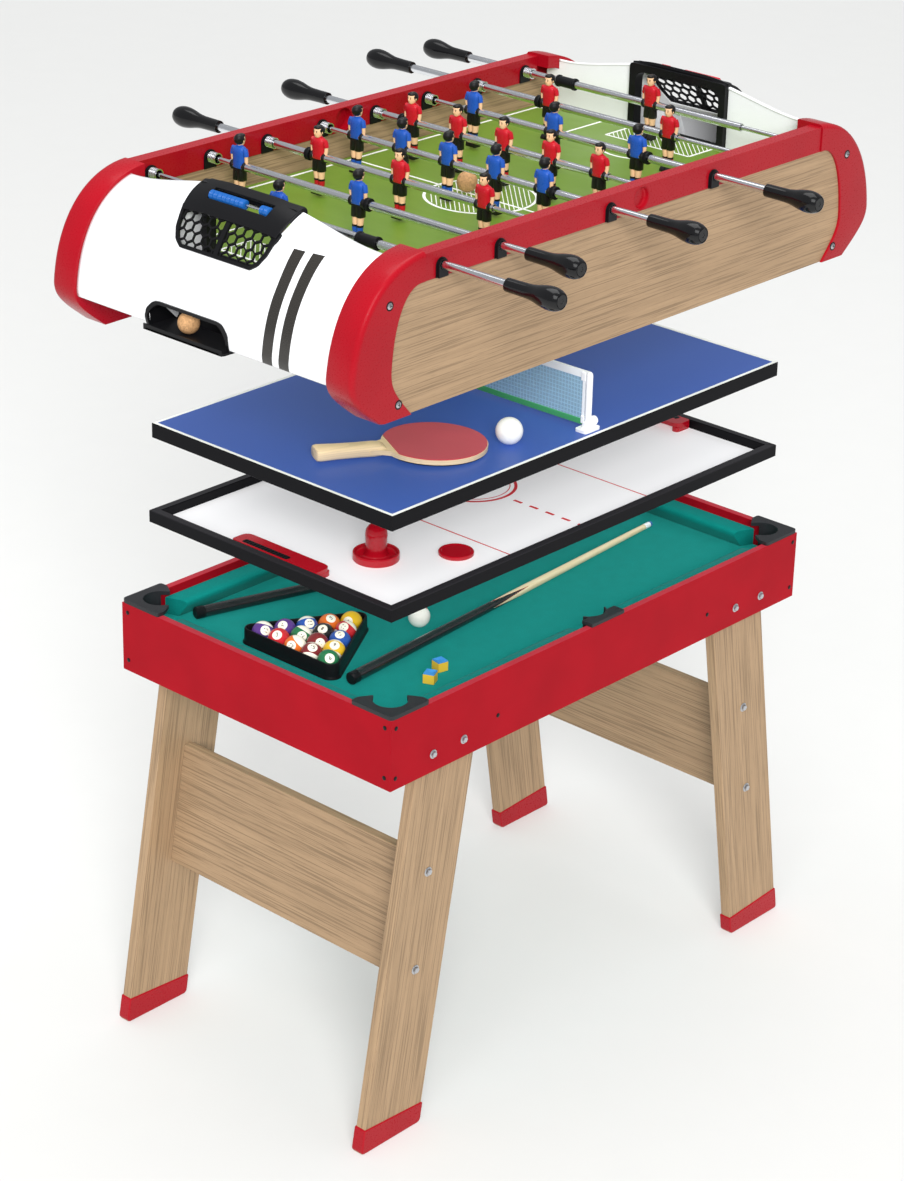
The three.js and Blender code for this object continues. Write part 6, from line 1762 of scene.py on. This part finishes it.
def player_figure():
    """A player that faces -X, made of stacked ovals; heights are from the rod.
    Materials: 0 shirt and socks, 1 skin, 2 black."""
    parts = []
    for side in (-1, 1):
        foot = 4.7 * side
        sole = rounded(
            [(-8, -55.5), (7, -55.5), (7, -50.5), (4.6, -46.6), (-3.4, -46.4), (-8, -52)],
            [2, 2, 2.4, 2, 2.5, 1.5])
        boot = slab(sole, foot - 4.1, foot + 4.1, axis="Y")
        parts.append(boot.painted(2))
        sock = [
            (-47.6, 0.6, foot * 0.93, 3.6, 3.7, 2.2), (-44, 0.7, foot * 0.93, 3.9, 3.9, 2.2),
            (-39, 1.1, foot * 0.92, 4.9, 4.3, 2.2), (-35, 0.9, foot * 0.92, 4.7, 4.3, 2.2)]
        parts.append(ovals(sock, 16).painted(0))
        band = [(-35, 0.8, foot * 0.92, 5.1, 4.6, 2.2), (-32.2, 0.6, foot * 0.92, 5.0, 4.6, 2.2)]
        parts.append(ovals(band, 16).painted(2))
        thigh = [
            (-32.2, 0.5, foot * 0.92, 4.5, 4.2, 2.2), (-26, 0.2, foot * 0.95, 5.2, 4.7, 2.2),
            (-17, 0, foot, 5.9, 5.1, 2.2)]
        parts.append(ovals(thigh, 16).painted(1))
        leg_of_shorts = [
            (-21, 0, foot * 1.04, 6.4, 5.6, 2.5), (-20.4, 0, foot * 1.04, 6.8, 6.0, 2.5),
            (-12, 0, foot * 0.98, 6.9, 5.9, 2.5), (-4, 0, foot * 0.9, 6.9, 5.6, 2.5)]
        parts.append(ovals(leg_of_shorts, 16).painted(2))
        sleeve = [(0, 10.6 * side, 25.4), (0.4, 12.8 * side, 21), (0.6, 14.0 * side, 15.5)]
        parts.append(tube(sleeve, [4.2, 4.0, 3.7], 12).painted(0))
        arm = [
            (0.6, 13.7 * side, 17), (0.4, 14.0 * side, 11), (-0.4, 13.0 * side, 5),
            (-0.8, 12.2 * side, 2)]
        parts.append(tube(arm, [2.9, 2.8, 2.7, 2.6], 12).painted(1))
        glove = [(0, 15), (5.6, 15), (7.0, 14), (7.6, 12), (7.0, 9.6), (5.4, 8.4), (0, 8.4)]
        parts.append(
            lathe(smooth_profile(glove[1:-1], 3), 20).turned("X", -90).scaled(y=side).painted(2))
        ear = sphere(1.5, 10, 6).scaled(0.8, 0.6, 1.3).moved(-1.0, 7.0 * side, 36.6)
        parts.append(ear.painted(1))
        eye = sphere(0.75, 8, 6).scaled(0.5, 1.1, 0.8).moved(-8.5, 2.7 * side, 37.6)
        parts.append(eye.painted(2))
        brow = sphere(1.3, 8, 6).scaled(0.4, 1.1, 0.4).moved(-8.5, 2.8 * side, 39.4)
        parts.append(brow.painted(2))
    waist = [(-6, 0, 0, 6.9, 10.6, 2.8), (-1.2, 0, 0, 6.8, 10.4, 2.8)]
    parts.append(ovals(waist, 24).painted(2))
    shirt = [
        (-2.2, 0, 0, 7.0, 10.9, 2.8), (-1.8, 0, 0, 7.3, 11.2, 2.8), (4, 0, 0, 6.9, 10.6, 2.7),
        (12, 0, 0, 7.2, 11.0, 2.6), (19, 0, 0, 7.6, 12.0, 2.5), (24.4, 0, 0, 7.3, 12.2, 2.4),
        (27, 0, 0, 6.2, 10.4, 2.3), (29, 0, 0, 4.6, 6.6, 2.1), (29.6, 0, 0, 3.6, 4.6, 2)]
    parts.append(ovals(shirt, 24).painted(0))
    collar = lathe(
        [(3.4, 28.4), (4.9, 28.2), (5.1, 29.6), (4.0, 30.6), (3.4, 30.2)], 20, closed=True)
    parts.append(collar.painted(0))
    parts.append(ovals([(27, 0, 0, 3.4, 3.4, 2), (32, -0.4, 0, 3.2, 3.2, 2)], 16).painted(1))
    face = [
        (28.4, -2.4, 0, 1.6, 1.4, 2), (29.2, -2.4, 0, 3.6, 3.3, 2), (31.4, -2.0, 0, 5.6, 4.9, 2),
        (34.6, -1.4, 0, 7.0, 6.4, 2), (38, -1.1, 0, 7.5, 6.9, 2), (42, -0.9, 0, 7.2, 6.5, 2),
        (45, -0.8, 0, 5.2, 4.6, 2), (46.4, -0.8, 0, 1.6, 1.4, 2)]
    parts.append(ovals(face, 20).painted(1))
    nose = ovals(
        [(34.4, -8.6, 0, 0.9, 1.1, 2), (35.2, -9.2, 0, 1.1, 1.2, 2), (38.6, -8.3, 0, 0.5, 0.6, 2)],
        8)
    parts.append(nose.painted(1))
    hair = sphere(1, 24, 14).scaled(8.0, 7.9, 8.0).moved(0.7, 0, 38.8)
    quiff = sphere(1, 16, 8).scaled(5.4, 6.2, 3.0).moved(-3.4, 0, 43.6)
    parts += [hair.painted(2), quiff.painted(2)]
    return joined(parts)


def handle_grip():
    """A moulded grip along +Z: a collar, a slim waist, a bulb and a recessed disc."""
    profile = [(6.2, 0), (8.8, 0.2), (9.4, 1.4), (9.5, 16), (9.7, 28), (10.1, 38)]
    profile += [(11.6, 48), (13.9, 58), (15.4, 67), (15.8, 73), (15.4, 79), (14.2, 84.5)]
    profile += [(12.5, 88.4), (11.2, 90.6), (10.2, 91.2)]
    body = smooth_profile(profile, 3)
    end = [(9.6, 90.2), (9.2, 90.2), (8.8, 90.9), (3.2, 90.9), (2.8, 90.3), (0, 90.3)]
    return lathe(np.vstack([body, end]), 48)


def screw_head(radius=4.6):
    """A domed steel screw, made towards +Z. Its cross cut and a ring round its head are dark
    slabs: painted shade in the cut and in the gap round the head.
    """
    dome = [
        (0, -0.6), (radius, -0.6), (radius, 0.3), (radius * 0.8, 1.3), (radius * 0.4, 1.8),
        (0, 1.95)]
    # The cross and the ring are painted shade: the cut and the gap round the head lie in shadow
    cross = plate((-2.4, 2.4), (-0.5, 0.5), (1.3, 1.98), 0.3)
    cross += plate((-0.5, 0.5), (-2.4, 2.4), (1.3, 1.98), 0.3)
    ring = lathe(
        [(radius + 0.2, -0.4), (radius + 2.2, -0.4), (radius + 2.0, 0.2), (radius + 0.2, 0.2)], 28,
        closed=True)
    return lathe(dome, 28) + cross.painted(1) + ring.painted(1)


class GAMES_OT_case(bpy.types.Operator):
    """Builds the football module's sides, rails, bushes, collars and corner caps"""

    bl_idname = "games.case"
    bl_label = "Football case"

    def execute(self, context):
        look = context.scene.table_look
        add = partial(piece, "football_level")
        end = bulge(20.3, 30)
        end = end[end[:, 1] < RAIL_BOTTOM + 18]
        for name, side in FRONTS.items():
            outline = np.vstack(
                [
                    [(-RAIL_X, RAIL_BOTTOM - GAP)], end[end[:, 1] < RAIL_BOTTOM - GAP],
                    (end[end[:, 1] < RAIL_BOTTOM - GAP] * [-1, 1])[::-1],
                    [(RAIL_X, RAIL_BOTTOM - GAP)]])
            board = slab(outline, -SIDE_OUTER, -SIDE_INNER, axis="Y")
            add(
                f"wood_side_{name}", mirrored(board, 1, -side), "wood_foil_along", f"side_{name}",
                edge=look.board_edge)
            self.rail(name, side, add, look)
        cap = corner_cap()
        screws = joined(on_front(screw_head(), x, -CAP_OUTER, z) for x, z in CAP_SCREWS)
        for corner, x, y in at_corners():
            add(
                f"end_cap_{corner}", mirrored(cap, x, y), "moulded_abs_red",
                f"corner_cap_{corner}", smooth=30)
        # The second finish is the painted shade of the screws' cross cuts and the gaps round their
        # heads
        add("cap_screws", four_corners(screws), "zinc_plated_steel dark_recess")
        return {"FINISHED"}

    def rail(self, name, side, add, look):
        """The beam is an upright board bored along Y for the rods and the ball. It is
        made at the front; the back's is the same turned half round."""
        z0, z1 = RAIL_BOTTOM, CASE_TOP
        face = [(-RAIL_X, z0), (RAIL_X, z0), (RAIL_X, z1), (-RAIL_X, z1)]
        holes, bushes, springs = [circle((ENTRY_X, ENTRY_Z), ENTRY_R, 40)], [], []
        for index, rod in enumerate(RODS):
            measures = rod_measures(rod)
            x = (index - 3.5) * ROD_PITCH * -side
            bushes.append(bush(True).moved(x))
            springs.append(sprung_collar().moved(x, -RAIL_INNER, ROD_Z))
            if measures["side"] == side:
                bushes.append(bush(False).moved(x))
                holes.append(circle((x, ROD_Z), ROD_R + 0.6, 24))
            else:
                reach = RAIL_INNER - measures["inner_tip"] + 6
                inner_rod = lathe([(0, 0), (3.2, 0), (3.6, 0.4), (3.6, reach), (0, reach)], 24)
                inner_rod = inner_rod.turned("X", 90).moved(x, -RAIL_INNER - 6 + reach, ROD_Z)
                springs.append(inner_rod)
        beam = slab(face, -RAIL_OUTER, -RAIL_INNER, axis="Y", holes=holes)
        dish = [(0, -10), (16.8, -10), (16.8, -0.4), (16.2, 0), (15.4, -0.4)]
        dish += [(14.6, -4.6), (12.6, -6.4), (0, -6.8)]
        entry = on_front(lathe(dish, 48), ENTRY_X, -RAIL_OUTER, ENTRY_Z)
        add(
            f"rail_beam_{name}", end_for(beam + entry, side), "moulded_abs_red", f"rail_{name}",
            slot="red_lacquer", edge=1.4, steps=3)
        add(f"rail_bushes_{name}", end_for(joined(bushes), side), "moulded_abs_black", edge=0.5)
        add(f"rail_springs_{name}", end_for(joined(springs), side), "chromed_steel", smooth=40)


class GAMES_OT_ends(bpy.types.Operator):
    """Builds the two white end shells with their goals, nets, beads and trays"""

    bl_idname = "games.ends"
    bl_label = "End shells and goals"

    def execute(self, context):
        add = partial(piece, "football_level")
        skin, wall = end_shell()
        cells, bars = hexagon_net()
        for end, side in SIDES.items():
            add(
                f"end_skin_{end}", end_for(skin, side), "striped_abs_white", f"end_{end}",
                closed=False, wall=3.6, smooth=50)
            add(f"end_wall_{end}", end_for(wall, side), "moulded_abs_white", edge=0.6)
            add(
                f"goal_hood_{end}", end_for(hood_skin(), side), "moulded_abs_black", f"goal_{end}",
                closed=False, wall=5.0, edge=0.9, smooth=50)
            add(f"goal_net_{end}", end_for(cells + bars, side), "moulded_abs_black", smooth=30)
            add(f"goal_arch_{end}", end_for(goal_arch(), side), "moulded_abs_black", edge=1.2)
            add(f"goal_tray_{end}", end_for(ball_tray(), side), "moulded_abs_black", edge=0.5)
            wire = [(0, -WIRE_HALF), (WIRE_R, -WIRE_HALF), (WIRE_R, WIRE_HALF), (0, WIRE_HALF)]
            wire = lathe(wire, 16).turned("X", -90).moved(-SLOT_X, 0, WIRE_Z)
            add(f"score_wire_{end}", end_for(wire, side), "chromed_steel")
            colour = {"left": "bead_blue", "right": "bead_red"}[end]
            parked = beads(PARKED, BEAD_BORE)
            parked = parked.moved(-SLOT_X, BEADS_END - PARKED * BEAD_WIDTH, WIRE_Z)
            add(f"parked_beads_{end}", end_for(parked, side), colour, smooth=50)
            loose = beads(LOOSE, BEAD_BORE).moved(-SLOT_X, -BEADS_END, WIRE_Z)
            piece(
                f"beads_{end}", f"moved_beads_{end}", end_for(loose, side), colour,
                f"score_beads_{end}", smooth=50)
        return {"FINISHED"}


class GAMES_OT_pitch(bpy.types.Operator):
    """Builds the pitch board, its printed lines and the two cork balls"""

    bl_idname = "games.pitch"
    bl_label = "Pitch"

    def execute(self, context):
        add = partial(piece, "football_level")
        half_x, half_y = WALL_X - GAP, SIDE_INNER - GAP
        board = block((-half_x, half_x), (-half_y, half_y), (PITCH_TOP - 10, PITCH_TOP))
        add("pitch_board", board, "printed_turf", "playfield", edge=0.3)
        z = PITCH_TOP - SUNK
        x, y = half_x - 12, half_y - 9
        border = frame_skin(
            x, y, [(0, z), (0, z + RELIEF), (BOLD, z + RELIEF), (BOLD, z)], closed=True)
        lines = [
            border, stroke([(0, BOLD - y), (0, y - BOLD)], LINE, z),
            flat_ring(CENTRE_RING, BOLD, z), printed_dot(z)]
        reach = 78.0
        for place in np.arange(-reach, reach + 1, 6.5):
            half = math.sqrt(max(reach**2 - place**2, 0)) - 0.5
            if half > 4:
                line = stroke([(place, -half), (place, half)], HATCH, z, 0.2)
                lines.append(line.turned("Z", -45))
        box = []
        for depth, half in GOAL_BOXES:
            corners = [(x, half), (x - depth, half), (x - depth, -half), (x, -half)]
            for first, second in zip(corners[:-1], corners[1:]):
                box.append(stroke([first, second], LINE, z))
        for place in np.arange(-136, 79, 9.2):
            first, last = max(0, -80 - place), min(60, 80 - place)
            if last - first > 4:
                ends = [(x - 60 + t, place + t) for t in (first, last)]
                box.append(stroke(ends, HATCH, z, 0.2))
        bow = arc((x - 78, 0), 62, 128, 232, 40)
        box.append(stroke(bow, LINE, z))
        box.append(printed_dot(z, 24).moved(x - 84))
        for side in (-1, 1):
            corner = arc((x, y), CORNER_ARC, 180, 270, 14)
            box.append(stroke(corner, LINE, z))
            corner = arc((x, -y), CORNER_ARC, 90, 180, 14)
            box.append(stroke(corner, LINE, z))
        right = joined(box)
        add("pitch_lines", joined(lines) + right + right.turned("Z", 180), "printed_white")
        kick = sphere(CORK_R, 40, 20).moved(*CORK_AT, PITCH_TOP + CORK_R + 0.2)
        caught = sphere(CORK_R, 40, 20).turned("X", 70)
        caught = caught.moved(*CAUGHT_AT, TRAY_FLOOR + 3 + CORK_R + 0.1)
        add("cork_balls", kick + caught, "pressed_cork")
        return {"FINISHED"}


class GAMES_OT_rods(bpy.types.Operator):
    """Builds the eight rods with their players, handles and stop rings"""

    bl_idname = "games.rods"
    bl_label = "Rods and players"

    def execute(self, context):
        player = player_figure()
        for index, rod in enumerate(RODS):
            number = index + 1
            add = partial(piece, f"team_rod_{number}")
            measures = rod_measures(rod)
            side = measures["side"]
            start, stop = measures["inner_end"], measures["handle"] + 44
            profile = [
                (0, start + measures["bore"]), (4.3, start + measures["bore"]), (4.3, start + 0.4),
                (4.8, start), (5.5, start), (ROD_R, start + 0.5), (ROD_R, stop), (0, stop)]
            add(
                f"rod_tube_{number}", placed(lathe(profile, 32).turned("X", -90), index, side),
                "chromed_steel", f"rod_{number}")
            men = joined(player.moved(y=place) for place in measures["places"])
            team = "team_blue" if side < 0 else "team_red"
            add(
                f"players_{number}", placed(men, index, side), f"{team} moulded_skin moulded_hair",
                smooth=48)
            grip = handle_grip().turned("X", -90).moved(y=measures["handle"])
            add(f"handle_{number}", placed(grip, index, side), "polished_abs_black", smooth=40)
            near, far = measures["ring"]
            inner, length = ROD_R + 0.6, far - near
            if measures["keeper"]:
                rows = [(inner, 0), (9.4, 0), (9.5, 0.6), (9.5, 3.4), (8.4, 4.4)]
                rows += [(8.4, length - 4.4), (9.5, length - 3.4), (9.5, length - 0.6)]
                rows += [(9.4, length), (inner, length)]
            else:
                rows = [(inner, 0), (9.0, 0), (9.5, 0.6), (9.5, 3), (8.6, 3.6)]
                rows += [(8.6, 4.4), (9.5, 5), (9.5, length - 0.6), (9.0, length)]
                rows.append((inner, length))
            ring = lathe(rows, 36, closed=True).turned("X", -90).moved(y=near)
            piece(
                f"slider_{number}", f"stop_sleeve_{number}", placed(ring, index, side),
                "moulded_abs_black", f"stop_ring_{number}", smooth=40)
        return {"FINISHED"}


# Stage: floor, lights and camera

CAMERA_TURN, CAMERA_RISE, CAMERA_ROLL = -48.031, 24.612, 1.423
CAMERA_AT = (-3171.819, -2816.653, 2605.035)
CAMERA_LENS, CAMERA_SENSOR, CAMERA_SIGHT = 120.779, 36, 200
FLOOR_HALF, FLOOR_TOP = 30000, -0.5
SKY, SKY_STRENGTH = (0.95, 0.97, 1.0, 1.0), 0.42
LIGHTS_AIM = (0, 0, 0.8)
# Each light in metres: its kind, place and power, and what else is set on it. Key and
# top light are soft boxes, the front sun is a wide soft one, and the fill sun throws no
# shadow, because the photograph's levels were pictured one by one
LIGHTS = {
    "key_light": ("AREA", (-3.2, -2.2, 4.6), 70, {"size": 2.6}),
    "top_light": ("AREA", (0.4, 0.6, 5.0), 60, {"size": 3.0}),
    "front_light": ("SUN", (-3.1, -3.3, 2.8), 2.7, {"angle": math.radians(24)}),
    "fill_light": ("SUN", (0.0, 0.0, 6.0), 1.2, {"use_shadow": False})}


def camera_axes():
    """The camera's right, up and back directions: back from the turn and the rise, the
    others square to it, then rolled."""
    turn, rise, roll = (math.radians(a) for a in (CAMERA_TURN, CAMERA_RISE, CAMERA_ROLL))
    back = Vector(
        (math.sin(turn) * math.cos(rise), -math.cos(turn) * math.cos(rise), math.sin(rise)))
    right = (-back).cross(Vector((0, 0, 1))).normalized()
    up = right.cross(-back)
    return (
        right * math.cos(roll) + up * math.sin(roll), up * math.cos(roll) - right * math.sin(roll),
        back)


def soft_light(name, kind, place, power, settings):
    """A light at a place, turned to the table's middle. Steel doesn't mirror the suns."""
    data = bpy.data.lights.new(name, kind)
    data.energy = power
    for key, value in settings.items():
        setattr(data, key, value)
    lamp = bpy.data.objects.new(name, data)
    lamp.location = place
    lamp.rotation_euler = (Vector(LIGHTS_AIM) - Vector(place)).to_track_quat("-Z", "Y").to_euler()
    lamp.visible_glossy = kind == "AREA"
    bpy.context.scene.collection.objects.link(lamp)


class GAMES_OT_stage(bpy.types.Operator):
    """Builds the pale floor, the soft lights and the camera"""

    bl_idname = "games.stage"
    bl_label = "Stage"

    def execute(self, context):
        scene = context.scene
        mesh = bpy.data.meshes.new("pale_floor")
        half, top = FLOOR_HALF * MM, FLOOR_TOP * MM
        corners = [(-half, -half, top), (half, -half, top), (half, half, top), (-half, half, top)]
        mesh.from_pydata(corners, [], [[0, 1, 2, 3]])
        mesh.materials.append(FINISHES["painted_floor"])
        floor = bpy.data.objects.new("pale_floor", mesh)
        scene.collection.objects.link(floor)
        world = bpy.data.worlds.new("soft_daylight")
        world.use_nodes = True
        background = world.node_tree.nodes["Background"]
        background.inputs[0].default_value = SKY
        background.inputs[1].default_value = SKY_STRENGTH
        scene.world = world
        for name, values in LIGHTS.items():
            soft_light(name, *values)
        camera_data = bpy.data.cameras.new("photo_camera")
        camera_data.sensor_fit = "HORIZONTAL"
        camera_data.sensor_width = CAMERA_SENSOR
        camera_data.lens = CAMERA_LENS
        camera_data.clip_end = CAMERA_SIGHT
        camera = bpy.data.objects.new("photo_camera", camera_data)
        right, up, back = camera_axes()
        matrix = Matrix((right, up, back)).transposed().to_4x4()
        matrix.translation = Vector(CAMERA_AT) * MM
        camera.matrix_world = matrix
        scene.collection.objects.link(camera)
        scene.camera = camera
        scene.view_settings.view_transform = "Standard"
        return {"FINISHED"}


class GAMES_PT_panel(bpy.types.Panel):
    """The table's look settings and its building steps"""

    bl_idname = "GAMES_PT_panel"
    bl_label = "Multi game table"
    bl_space_type = "VIEW_3D"
    bl_region_type = "UI"
    bl_category = "Game Table"

    def draw(self, context):
        look = context.scene.table_look
        column = self.layout.column(align=True)
        for name in (*LOOK_COLOURS, "board_edge", "moulded_edge"):
            column.prop(look, name)
        for operator in OPERATORS:
            self.layout.operator(operator.bl_idname)


OPERATORS = [
    GAMES_OT_stage, GAMES_OT_apron, GAMES_OT_bed, GAMES_OT_legs, GAMES_OT_balls,
    GAMES_OT_puck_game, GAMES_OT_table_tennis, GAMES_OT_case, GAMES_OT_ends, GAMES_OT_pitch,
    GAMES_OT_rods]


def register():
    for kind in [LookSettings, *OPERATORS, GAMES_PT_panel]:
        bpy.utils.register_class(kind)
    bpy.types.Scene.table_look = PointerProperty(type=LookSettings)


def unregister():
    del bpy.types.Scene.table_look
    for kind in [GAMES_PT_panel, *reversed(OPERATORS), LookSettings]:
        bpy.utils.unregister_class(kind)


def main():
    register()
    make_finishes(bpy.context.scene.table_look)
    for operator in OPERATORS:
        group, name = operator.bl_idname.split(".")
        getattr(getattr(bpy.ops, group), name)()


if __name__ == "__main__":
    main()
